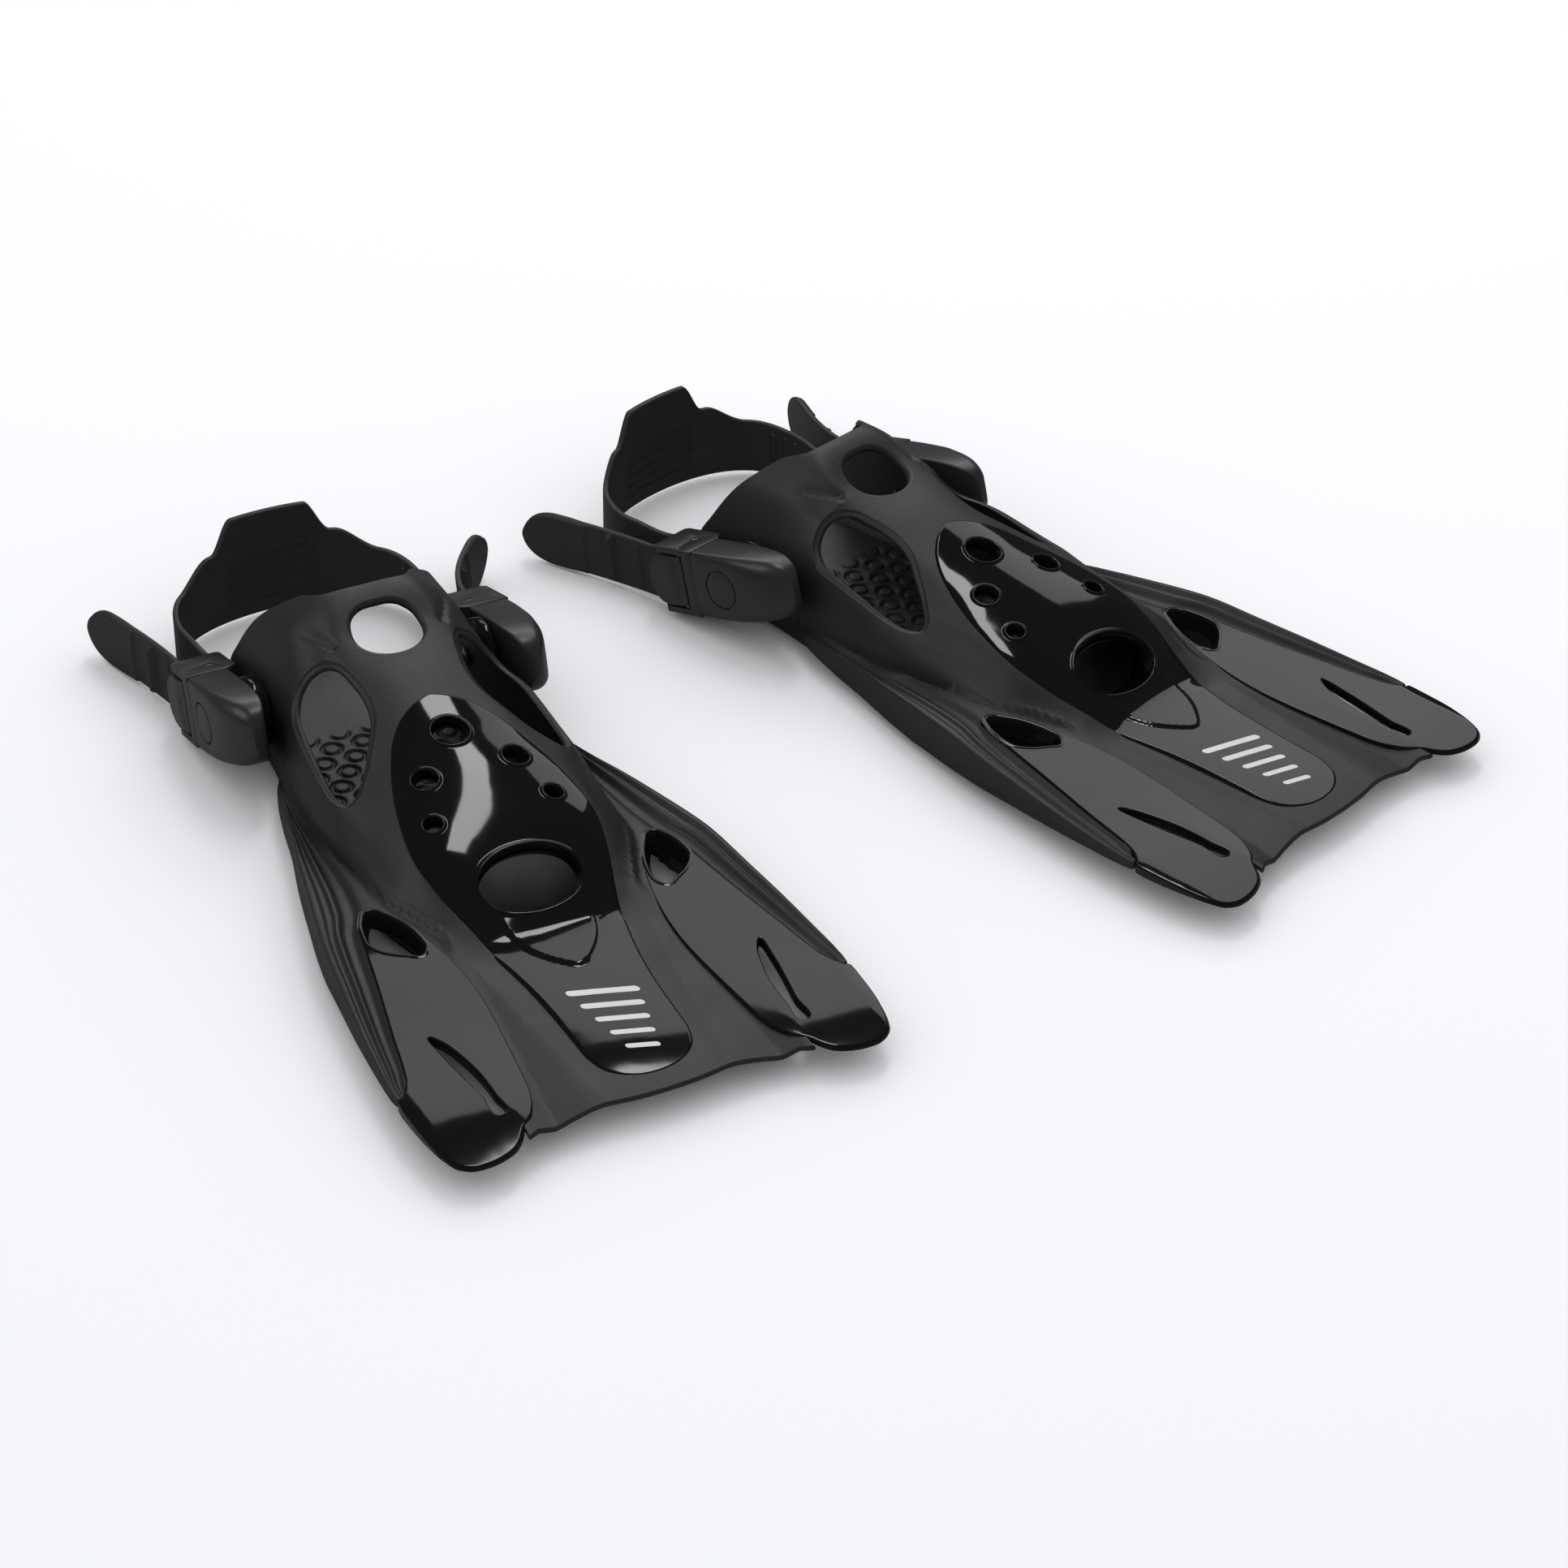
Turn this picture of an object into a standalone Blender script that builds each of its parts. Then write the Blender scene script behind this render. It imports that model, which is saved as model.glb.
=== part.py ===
"""A pair of open-heel swim fins with swivel buckles and an adjustable heel strap.

Metres, +Z up. The pair stands on its soles with the toes towards -Y, turned out a little.
Each fin is drawn in its own frame first: x runs forward to the tip, y to the wearer's
left, z up from the sole, in millimetres. The right and the left fin are the same moulding.
"""

import bpy
import bmesh
from math import cos, pi, radians, sin
from mathutils import Matrix, Vector

MM = 0.001
GAP = 0.3                   # clearance between touching pieces

# --- driving dimensions of one fin, in millimetres ---
HALF_STANCE = 129.1         # fin origin from the middle of the pair
STAGGER = 8.5               # right fin stands this much further back
PAIR_SHIFT = 118.7          # puts the middle of the pair's box over the origin
TOE_OUT = 9.38              # degrees each fin is turned outwards
WALL = 3.0                  # rubber wall of the foot pocket
PANEL = 4.0                 # thickness of the glossy blade panels
FRAME = 5.5                 # thickness of the rubber blade frame
FOOTBED = 2.4               # thickness of the footbed

PIVOT_X, PIVOT_Z = 20.0, 32.0   # axis of the swivelling buckles
BUCKLE_TILT = 15.0          # degrees, nose up
STRAP_HALF = 14.0           # half the width of the strap
STRAP_THICK = 3.0
BAND_Y, TAIL_Y = 59.0, 74.0     # strap going in, strap coming out
ROLLER_U = -30.0            # roller axis, along the buckle from the pivot
STRAIGHT_U = -62.0          # the strap is straight from the roller to here
STRAP_Z = 16.6              # middle of the strap behind the buckles
ROLLER_Y, ROLLER_R = 66.5, 5.7
LEVER_U, LEVER_Y = -29.0, 79.7  # pin of the release lever
RIM_FADE = 48.0             # where the slanted rear rim has faded out, along x

# --- outlines of one half of the fin: (x, y) ---
OUTER_EDGE = [(62, 65), (82, 69.5), (104, 74), (128, 80.5), (158, 87.5), (182, 93), (198, 96),
              (222, 99), (247, 102), (269, 104), (288, 105.3)]
RAIL_END = [(295, 104.5), (296.5, 102.3), (293, 100)]
PANEL_OUTER = [(289, 97), (280, 94.8), (264, 91.7), (243, 87.2), (222, 82.8), (205, 79.5),
               (190, 76)]
PANEL_APEX = [(179, 71), (178, 67), (184, 61.5)]
PANEL_INNER = [(195, 56), (215, 50.5), (235, 47.2), (252, 46.5), (270, 47.7), (287, 49.6),
               (303, 51.5), (316, 53.5), (324, 56), (331, 60), (336, 65), (340, 67.5)]
TIP = [(345, 68.5), (350, 75), (353, 84), (353, 91), (350, 97), (344, 100.8), (334, 103),
       (320, 104.5), (304, 105.2)]
TRAILING = [(338.5, 60), (338, 52), (336.5, 40), (336, 28), (337.5, 14), (338, 0)]
SPINE_EDGE = [(92, 0), (93.5, 5), (97, 12), (103, 20), (112, 27), (121, 31.5), (130, 35.2),
              (139, 38.3), (148, 40.7), (157, 42.6), (166, 44), (175, 44.6), (184, 44.2),
              (193, 42.6), (203, 39.8), (213, 36.6), (225, 33.3), (240, 29.8), (255, 27.2),
              (275, 25.2), (295, 24.4), (309, 23.6), (318, 20.5), (324, 14), (327, 7),
              (327.8, 0)]
WINDOW = [(50, 43), (51, 36.5), (58, 31), (70, 28), (82, 27), (92, 28.8), (104, 35.5),
          (116, 43.5), (123, 50), (123.5, 54), (118, 56.3), (104, 57), (88, 56.2), (72, 54.5),
          (58, 51.5), (52, 48)]
VENT = [(181.5, 69), (186, 72.5), (195, 75.4), (203, 75.6), (209, 71.5), (214, 64.5),
        (217, 58.6), (214, 56), (206, 55.8), (196, 58.4), (187, 63), (182, 66.5)]
SLOT = [(268, 77.3), (282, 76.8), (296, 74.8), (310, 72.4), (324.5, 70.3), (324.3, 69),
        (312, 68), (298, 68.4), (284, 70.8), (273, 74.2)]
WALL_FOOT = [(62, 60.5), (82, 64), (104, 65.5), (128, 65.5), (150, 64), (175, 60.6), (190, 54.8),
             (205, 49.2)]
TOP_VENT = (48.0, 17.5, 16.5)       # centre x, half width, half length
TOE_VENT = (200.0, 21.0, 17.5)
ROUND_HOLES = [(117, 0, 8.6), (138.5, 22, 6.0), (138.5, -22, 6.0), (163, 29, 4.4),
               (163, -29, 4.4)]

# --- cross-sections of the foot pocket: station x -> (y, z) from the crest to the sole ---
SECTIONS = {
    -24: [(0, 86), (12, 86), (22, 84), (33, 77), (43, 67), (50, 47), (53.5, 26), (52, 4),
          (47, 0)],
    21: [(0, 86), (12, 86), (22, 84), (32, 77.5), (42, 68), (50.5, 49), (54.3, 27), (53, 4),
         (48, 0)],
    48: [(0, 75.5), (14, 75.4), (26, 74), (36, 66.5), (44, 59.5), (52, 46), (56.3, 27), (56, 4),
         (51, 0)],
    82: [(0, 68.5), (14, 67.6), (27, 64), (41, 58.5), (50, 53.5), (57.5, 44), (61.5, 28),
         (62, 4), (56, 0)],
    114: [(0, 60.5), (14, 59.5), (28, 56.3), (42, 49.5), (51, 45), (58, 40), (64, 27), (64, 4),
          (58, 0)],
    148: [(0, 52.5), (20, 51), (34, 48.3), (41, 46), (48, 42), (55.5, 35), (62, 25), (63, 4),
          (57, 0)],
    175: [(0, 44), (22, 43.5), (35, 41.8), (44.6, 40), (50, 35.5), (55, 30), (60, 24.5),
          (60, 5), (54, 0)],
    204: [(0, 31.6), (16, 31.4), (27, 30.6), (39.5, 28.6), (43, 26.4), (46, 24.2), (49, 22.6),
          (48, 8), (43, 3)],
}
RIM_CURVE = [(0, -24), (15, -25), (33, -24.5), (46, -18), (63, -8), (74.5, 2), (81, 9.5),
             (85, 19), (88, 22)]       # (z, x) of the slanted rear rim
CREST_Z = [(0, 84), (21, 86), (48, 75.5), (82, 68.5), (117, 59.8), (148, 52.5), (175, 44),
           (200, 33), (214, 26), (228, 20.8), (245, 19.8), (270, 19), (300, 17.6), (338, 15.6),
           (353, 15)]
SIDE_Z = [(60, 16), (110, 20), (182, 24), (211, 22), (270, 18.6), (322, 16.8), (353, 15)]


def lerp_table(table, x):
    """Straight-line value of a table of (x, value)."""
    if x <= table[0][0]:
        return table[0][1]
    for (x0, v0), (x1, v1) in zip(table, table[1:]):
        if x <= x1:
            return v0 + (v1 - v0) * (x - x0) / (x1 - x0)
    return table[-1][1]


def section(x):
    """Cross-section of the pocket at x, between the drawn stations."""
    stations = sorted(SECTIONS)
    x = min(max(x, stations[0]), stations[-1])
    for a, b in zip(stations, stations[1:]):
        if x <= b:
            k = (x - a) / (b - a)
            return [((1 - k) * p[0] + k * q[0], (1 - k) * p[1] + k * q[1])
                    for p, q in zip(SECTIONS[a], SECTIONS[b])]
    return SECTIONS[stations[-1]]


def pocket_height(x, y):
    """Height of the pocket's outer skin above the point (x, y)."""
    points = section(x)
    y = abs(y)
    for (y0, z0), (y1, z1) in zip(points, points[1:]):
        if y <= y1:
            return z0 + (z1 - z0) * (y - y0) / (y1 - y0)
    return points[-1][1]


def spine_height(x, y):
    """Top of the centre panel: the instep behind, the flat spine in front."""
    flat = lerp_table(CREST_Z, x) - 0.0006 * y * y
    if x < 204:
        return pocket_height(x, y)
    return flat if x > 228 else flat + (228 - x) / 24 * (-0.0012 * y * y)


def blade_height(x, y):
    """Top of the blade outside the pocket, with the V channel near the trailing edge."""
    y = abs(y)
    z = lerp_table(SIDE_Z, x)
    if x > 235:
        grow = (x - 235) / 103
        crease, valley = 42 - 14 * grow, 42 + 10 * grow
        depth = 3.4 * min(grow, 1.0)
        if crease < y <= valley:
            z -= depth * (y - crease) / max(valley - crease, 0.1)
        elif valley < y < 66:
            z -= depth * (66 - y) / (66 - valley)
    if y > 100:
        z -= (y - 100) * 0.35
    return z


# --- small modelling helpers ---
def new_collection(name, parent):
    made = bpy.data.collections.new(name)
    parent.children.link(made)
    return made


def material(name, colour, roughness, metallic=0.0):
    made = bpy.data.materials.new(name)
    made.use_nodes = True
    shader = made.node_tree.nodes["Principled BSDF"]
    shader.inputs["Base Color"].default_value = (*colour, 1.0)
    shader.inputs["Roughness"].default_value = roughness
    shader.inputs["Metallic"].default_value = metallic
    return made


def object_from(bm, name, home, finish, smooth=40):
    """Turn a bmesh in millimetres into an object in metres."""
    bmesh.ops.recalc_face_normals(bm, faces=bm.faces)
    bmesh.ops.scale(bm, vec=(MM, MM, MM), verts=bm.verts)
    mesh = bpy.data.meshes.new(name)
    bm.to_mesh(mesh)
    bm.free()
    mesh.shade_smooth()
    mesh.set_sharp_from_angle(angle=radians(smooth))
    made = bpy.data.objects.new(name, mesh)
    home.objects.link(made)
    if finish:
        mesh.materials.append(finish)
    return made


def mirrored(bm, side):
    """Mirror a piece drawn on the left side (side 1) to the right side (side -1)."""
    bmesh.ops.scale(bm, vec=(1, side, 1), verts=bm.verts)
    return bm


def loft(sections):
    """Closed solid through rings of equal point counts."""
    bm = bmesh.new()
    rings = [[bm.verts.new(p) for p in ring] for ring in sections]
    for low, high in zip(rings, rings[1:]):
        for i in range(len(low)):
            j = (i + 1) % len(low)
            bm.faces.new((low[i], low[j], high[j], high[i]))
    bm.faces.new(rings[0])
    bm.faces.new(reversed(rings[-1]))
    return bm


def cylinder(radius, low, high, centre=(0, 0), axis="Y", sides=16):
    """Cylinder between two heights on an axis through `centre`."""
    bm = bmesh.new()
    bmesh.ops.create_cone(bm, cap_ends=True, segments=sides, radius1=radius, radius2=radius,
                          depth=high - low)
    bmesh.ops.translate(bm, vec=(0, 0, (low + high) / 2), verts=bm.verts)
    if axis == "Y":
        bmesh.ops.rotate(bm, matrix=Matrix.Rotation(-pi / 2, 3, "X"), verts=bm.verts)
        bmesh.ops.translate(bm, vec=(centre[0], 0, centre[1]), verts=bm.verts)
    else:
        bmesh.ops.translate(bm, vec=(centre[0], centre[1], 0), verts=bm.verts)
    return bm


def box(low, high):
    bm = bmesh.new()
    bmesh.ops.create_cube(bm, size=1.0)
    size = Vector(high) - Vector(low)
    bmesh.ops.scale(bm, vec=size, verts=bm.verts)
    bmesh.ops.translate(bm, vec=(Vector(high) + Vector(low)) / 2, verts=bm.verts)
    return bm


def turned(profile, steps, axis=(0, 1, 0), centre=(0, 0, 0)):
    """Solid turned from a profile of points about an axis through `centre`."""
    bm = bmesh.new()
    verts = [bm.verts.new(p) for p in profile]
    edges = [bm.edges.new(pair) for pair in zip(verts, verts[1:])]
    bmesh.ops.spin(bm, geom=verts + edges, cent=centre, axis=axis, angle=2 * pi, steps=steps,
                   use_duplicate=False)
    bmesh.ops.remove_doubles(bm, verts=bm.verts, dist=0.01)
    return bm


def prism(outline, low, high):
    """Upright prism over an (x, y) outline."""
    return loft([[(x, y, low) for x, y in outline], [(x, y, high) for x, y in outline]])


def ellipse(centre, half_x, half_y, sides):
    return [(centre[0] + half_x * cos(2 * pi * i / sides),
             centre[1] + half_y * sin(2 * pi * i / sides)) for i in range(sides)]


def grown(outline, amount):
    """Outline moved outwards along its corner normals; negative moves it in."""
    area = sum(a[0] * b[1] - b[0] * a[1] for a, b in zip(outline, outline[1:] + outline[:1]))
    turn = 1 if area > 0 else -1
    made = []
    for i, here in enumerate(outline):
        before, after = Vector(outline[i - 1]), Vector(outline[(i + 1) % len(outline)])
        along = ((Vector(here) - before).normalized() + (after - Vector(here)).normalized())
        along.normalize()
        made.append((here[0] + turn * along.y * amount, here[1] - turn * along.x * amount))
    return made


def both_sides(half):
    """Full outline from a half drawn from centre line to centre line."""
    return half + [(x, -y) for x, y in reversed(half) if abs(y) > 0.01]


def flipped(outline, side):
    return [(x, side * y) for x, y in outline]


def plate(outline, holes, top, bottom, cuts_x=(), cuts_y=()):
    """A plate over an outline whose top and bottom follow height functions of (x, y)."""
    curve = bpy.data.curves.new("outline", "CURVE")
    curve.dimensions = "2D"
    curve.fill_mode = "BOTH"
    curve.extrude = 1.0
    for loop in [outline] + list(holes):
        spline = curve.splines.new("POLY")
        spline.points.add(len(loop) - 1)
        for point, (x, y) in zip(spline.points, loop):
            point.co = (x, y, 0, 1)
        spline.use_cyclic_u = True
    flat = bpy.data.objects.new("outline", curve)
    bpy.context.scene.collection.objects.link(flat)
    evaluated = flat.evaluated_get(bpy.context.evaluated_depsgraph_get())
    mesh = bpy.data.meshes.new_from_object(evaluated)
    bpy.data.objects.remove(flat)
    bm = bmesh.new()
    bm.from_mesh(mesh)
    bpy.data.meshes.remove(mesh)
    bmesh.ops.remove_doubles(bm, verts=bm.verts, dist=0.001)
    for x in cuts_x:
        bmesh.ops.bisect_plane(bm, geom=bm.verts[:] + bm.edges[:] + bm.faces[:], dist=0.01,
                               plane_co=(x, 0, 0), plane_no=(1, 0, 0))
    for y in cuts_y:
        bmesh.ops.bisect_plane(bm, geom=bm.verts[:] + bm.edges[:] + bm.faces[:], dist=0.01,
                               plane_co=(0, y, 0), plane_no=(0, 1, 0))
    bmesh.ops.triangulate(bm, faces=[f for f in bm.faces if abs(f.normal.z) > 0.5])
    for vert in bm.verts:
        height = top if vert.co.z > 0 else bottom
        vert.co.z = height(vert.co.x, vert.co.y)
    return bm


def cut(target, cutter_bm, name, cutters):
    """Exact Boolean of a piece with a closed cutter kept in the cutters collection."""
    cutter = object_from(cutter_bm, name, cutters, None)
    cutter.display_type = "WIRE"
    cutter.hide_render = True
    modifier = target.modifiers.new(name, "BOOLEAN")
    modifier.operation = "DIFFERENCE"
    modifier.object = cutter
    modifier.solver = "EXACT"


# --- the rubber foot pocket ---
def pocket_ring(x, inset=0.0):
    """One closed ring of the pocket: over the arch and back along the sole."""
    half = section(x)
    fade = min(max((RIM_FADE - x) / 27.0, 0.0), 1.0)
    ring = []
    for y, z in half:
        rim = lerp_table(RIM_CURVE, z)
        shift = fade * (rim - 21) if x <= RIM_FADE else 0.0
        ring.append((x + shift, y, z))
    full = ring + [(px, -y, z) for px, y, z in reversed(ring) if y > 0.01]
    if not inset:
        return full
    floor_z = WALL + (3 if x > 190 else 0)
    shrunk = []
    for px, y, z in full:
        ratio = max(1 - inset / max(abs(y), 25), 0.2)
        shrunk.append((px, y * ratio, max(z - inset * (1 if z > 20 else 0), floor_z)))
    return shrunk


def foot_pocket(name, home, cutters, finish):
    stations = [21, 34, 48, 64, 82, 98, 114, 131, 148, 162, 175, 190, 204]
    pocket = object_from(loft([pocket_ring(x) for x in stations]), name, home, finish, 30)
    hollow = [pocket_ring(x, WALL) for x in stations[:-1]]
    hollow.insert(0, [(x - 30, y, z + 0.2) for x, y, z in hollow[0]])
    hollow.append([(200, y, z) for x, y, z in pocket_ring(196, WALL)])
    cut(pocket, loft(hollow), name + "_hollow", cutters)
    for side in (1, -1):
        window = prism(flipped(WINDOW, side), 20, 90)
        cut(pocket, window, f"{name}_window_{side}", cutters)
    x, half_width, half_length = TOP_VENT
    cut(pocket, prism(ellipse((x, 0), half_length, half_width, 20), 50, 95), name + "_vent",
        cutters)
    for side in (1, -1):
        seat = mirrored(cylinder(17.4, 54.3, 70, (PIVOT_X, PIVOT_Z)), side)
        cut(pocket, seat, f"{name}_stud_seat_{side}", cutters)
        hole = mirrored(cylinder(4.9, 40, 70, (PIVOT_X, PIVOT_Z), sides=16), side)
        cut(pocket, hole, f"{name}_stud_hole_{side}", cutters)
    opening = both_sides([p for p in SPINE_EDGE if p[0] <= 214] + [(214, 0)])
    cut(pocket, prism(grown(opening, GAP), 20, 90), name + "_instep", cutters)
    return pocket


def footbed(name, home, finish):
    half = [(-20, 0), (-20, 40), (10, 45), (48, 48.5), (82, 52), (114, 54), (148, 52.5),
            (175, 47.5), (185, 42), (188, 0)]
    bm = plate(both_sides(half), [], lambda x, y: WALL + GAP + FOOTBED, lambda x, y: WALL + GAP)
    return object_from(bm, name, home, finish)


# --- the blade ---
def blade_frame(name, home, finish):
    foot = [(x, y + GAP) for x, y in WALL_FOOT]
    spine = [(x, y) for x, y in SPINE_EDGE if x > 206]
    spine = grown(both_sides([(190, 0), (190, 43.5)] + spine), GAP)
    spine_half = [p for p in spine if p[1] > -0.01 and p[0] > 204.5]
    half = [(TRAILING[-1][0], 0)] + TRAILING[-2::-1] + [(342.6, 67.3)]
    seam = [TIP[0]] + PANEL_INNER[::-1] + PANEL_APEX[::-1] + PANEL_OUTER[::-1] + [(294, 98.6)]
    half += grown(seam, GAP)[1:-1]
    half += RAIL_END[::-1] + OUTER_EDGE[::-1] + foot + [(205.5, 45)]
    outline = half + spine_half
    outline += [(x, -y) for x, y in reversed(outline) if abs(y) > 0.3]

    def top(x, y):
        outer = lerp_table([(px, py) for px, py in OUTER_EDGE], x)
        z = blade_height(x, y)
        rail = max(0.0, 1 - abs(abs(y) - (outer - 5)) / 6)
        wall = max(0.0, 1 - abs(abs(y) - lerp_table(WALL_FOOT, x)) / 7) if x < 204 else 0
        return z + 1.2 * rail + 3.0 * wall

    def bottom(x, y):
        outer = lerp_table([(px, py) for px, py in OUTER_EDGE], x)
        low = 3.0 if x < 200 else 3.0 + (x - 200) * 0.03
        inner = lerp_table([(150, 72), (190, 75), (300, 98)], x)
        if abs(y) > inner - 1 or abs(y) > outer - 8:
            return low
        return max(blade_height(x, y) - FRAME, low)

    cuts_x = (114, 148, 182, 206, 235, 270, 305)
    cuts_y = (-92, -72, -50, -36, 36, 50, 72, 92)
    return object_from(plate(outline, [], top, bottom, cuts_x, cuts_y), name, home, finish, 30)


def side_panel(name, side, home, finish):
    outline = PANEL_APEX + PANEL_INNER + TIP + [(298.5, 105.3), (298.5, 102), (294, 98.6)]
    outline += PANEL_OUTER
    bm = plate(outline, [VENT, SLOT], blade_height, lambda x, y: blade_height(x, y) - PANEL,
               (235, 265, 300), (84,))
    return object_from(mirrored(bm, side), name, home, finish, 30)


def centre_panel(name, home, finish):
    x0, half_width, half_length = TOE_VENT
    holes = [ellipse((x, y), r, r, 10) for x, y, r in ROUND_HOLES]
    holes.append(ellipse((x0, 0), half_length, half_width, 16))

    def bottom(x, y):
        return spine_height(x, y) - PANEL * (1.25 if 110 < x < 228 else 1.0)

    bm = plate(both_sides(SPINE_EDGE), holes, spine_height, bottom,
               (107, 128, 148, 175, 204, 216, 228, 260), (-20, 0, 20))
    return object_from(bm, name, home, finish, 30)


# --- studs, buckles, rollers, levers ---
def swivel_stud(name, side, home, finish):
    """Turned stud: a wide foot on the pocket wall, a neck, a shank in the buckle."""
    profile = [(0, 79.0), (4.6, 79.0), (4.6, 66.0), (3.9, 66.0), (3.9, 64.2), (4.6, 64.2),
               (4.6, 60.8), (16.2, 60.8), (17.0, 60.0), (17.0, 54.6), (4.6, 54.6), (4.6, 49.6),
               (0, 49.6)]
    bm = turned([(r, y, 0) for r, y in profile], 16)
    return object_from(mirrored(bm, side), name, home, finish)


def stud_clip(name, side, home, finish):
    """Open retaining ring in the stud's groove."""
    inner, outer, steps = 4.2, 7.2, 18
    arc = [radians(30 + 300 * i / steps) for i in range(steps + 1)]
    loop = [(outer * cos(a), outer * sin(a)) for a in arc]
    loop += [(inner * cos(a), inner * sin(a)) for a in reversed(arc)]
    bm = loft([[(x, 64.5, z) for x, z in loop], [(x, 65.7, z) for x, z in loop]])
    return object_from(mirrored(bm, side), name, home, finish)


def rounded_section(u, low_y, high_y, half_v, corner):
    """Rounded rectangle across the buckle, in the plane at u."""
    ring = []
    for cy, cv, start in ((high_y - corner, half_v - corner, 0), (low_y + 1, half_v - 1, 90),
                          (low_y + 1, -half_v + 1, 180), (high_y - corner, corner - half_v, 270)):
        radius = corner if cy == high_y - corner else 1.0
        for step in range(4):
            angle = radians(start + 30 * step)
            ring.append((u, cy + radius * cos(angle), cv + radius * sin(angle)))
    return ring


HOUSING = [(-18, 61.2, 82.0, 17.2, 3), (-6, 61.2, 82.2, 17.3, 4), (8, 61.2, 82.2, 17.2, 5),
           (19, 61.4, 81.6, 16.8, 6), (28, 62.4, 79.4, 15.6, 6.5), (34, 63.8, 76.6, 13.4, 6),
           (38, 65.6, 73.6, 10.2, 3.8), (40, 67.4, 71.6, 6.4, 2.0)]


def buckle_housing(name, side, home, cutters, finish):
    outer = loft([rounded_section(*row) for row in HOUSING])
    housing = object_from(mirrored(outer, side), name, home, finish, 30)
    inner = [rounded_section(u, low + 2.3, high - 2.3, half - 2.3, corner - 0.6)
             for u, low, high, half, corner in HOUSING[:6]]
    inner.insert(0, [(u - 6, y, v) for u, y, v in inner[0]])
    cut(housing, mirrored(loft(inner), side), name + "_inside", cutters)
    cut(housing, mirrored(cylinder(5.0, 55, 70), side), name + "_bore", cutters)
    cut(housing, mirrored(cylinder(10.2, 80.9, 90), side), name + "_cap_seat", cutters)
    cut(housing, mirrored(cylinder(2.6, 70, 90), side), name + "_cap_hole", cutters)
    return housing


def pivot_cap(name, side, home, finish):
    """Round cap that closes the buckle over the end of the stud."""
    profile = [(0, 82.1), (9.2, 82.1), (9.9, 81.6), (9.9, 81.2), (2.2, 81.2), (2.2, 80.4),
               (0, 80.4)]
    bm = turned([(r, y, 0) for r, y in profile], 18)
    return object_from(mirrored(bm, side), name, home, finish)


def buckle_frame(name, side, home, cutters, finish):
    """Strap guide: two arms, a front wall and an outer bar."""
    plan = [(-18.4, 61.4), (-18.4, 82.0), (-43, 81.4), (-45.5, 79), (-46, 58), (-44, 56.4),
            (-22, 56.4)]
    outer = loft([[(u, y, -17.4) for u, y in plan], [(u, y, 17.4) for u, y in plan]])
    frame = object_from(mirrored(outer, side), name, home, finish, 30)
    cut(frame, mirrored(box((-60, 50, -14.4), (-20.3, 77.4, 14.4)), side), name + "_channel",
        cutters)
    cut(frame, mirrored(box((-60, 77, -14.4), (-25.4, 90, 14.4)), side), name + "_notch",
        cutters)
    cut(frame, mirrored(cylinder(2.1, -30, 30, (ROLLER_U, ROLLER_Y), "Z", 16), side),
        name + "_roller_hole", cutters)
    cut(frame, mirrored(cylinder(1.3, -30, 30, (LEVER_U, LEVER_Y), "Z", 12), side),
        name + "_lever_hole", cutters)
    return frame


def roller(name, side, home, finish):
    """Strap roller turned in one piece with its two journals."""
    profile = [(0, 17.0), (1.8, 17.0), (1.8, 13.9), (ROLLER_R, 13.9), (ROLLER_R, -13.9),
               (1.8, -13.9), (1.8, -17.0), (0, -17.0)]
    bm = turned([(ROLLER_U + r, ROLLER_Y, v) for r, v in profile], 14, (0, 0, 1),
                (ROLLER_U, ROLLER_Y, 0))
    return object_from(mirrored(bm, side), name, home, finish)


def lever_pin(name, side, home, finish):
    bm = cylinder(1.0, -17.2, 17.2, (LEVER_U, LEVER_Y), "Z", 12)
    return object_from(mirrored(bm, side), name, home, finish)


def release_lever(name, side, home, cutters, finish):
    """D-shaped thumb lever that swings out on its pin."""
    half = [(-26.7, 13.0), (-42, 13.4), (-46.5, 11), (-49.3, 7), (-50.3, 0)]
    outline = half + [(u, -v) for u, v in reversed(half[:-1])]
    bm = loft([[(u, 78.2, v) for u, v in outline], [(u, 82.3, v) for u, v in outline]])
    made = object_from(mirrored(bm, side), name, home, finish)
    cut(made, mirrored(cylinder(1.3, -20, 20, (LEVER_U, LEVER_Y), "Z", 12), side), name + "_bore",
        cutters)
    return made


def lever_spring(name, side, home, finish):
    """Leaf spring between the strap and the lever."""
    leaf = [(-40, 76.5), (-34, 76.2), (-29, 76.3), (-29, 76.9), (-34, 76.8), (-40, 77.1)]
    bm = loft([[(u, y, -5) for u, y in leaf], [(u, y, 5) for u, y in leaf]])
    return object_from(mirrored(bm, side), name, home, finish)


# --- the strap ---
def ribbon(stations):
    """Strap through stations of (centre, lower half, upper half, up, normal, thickness)."""
    rings = []
    for centre, low, high, up, normal, thick in stations:
        n = normal * (thick / 2)
        rings.append([centre - up * low - n, centre + up * high - n, centre + up * high + n,
                      centre - up * low + n])
    return loft(rings)


def buckle_to_fin(u, v):
    """Point of the tilted buckle frame as (x, z) in the fin."""
    tilt = radians(BUCKLE_TILT)
    return PIVOT_X + u * cos(tilt) - v * sin(tilt), PIVOT_Z + u * sin(tilt) + v * cos(tilt)


BAND_PLAN = [(-50, 59.9), (-58, 61.0), (-67, 61.6), (-77, 60.2), (-87, 55.6), (-95, 48),
             (-101, 38), (-105, 27), (-107.5, 14), (-108.3, 0)]


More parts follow.
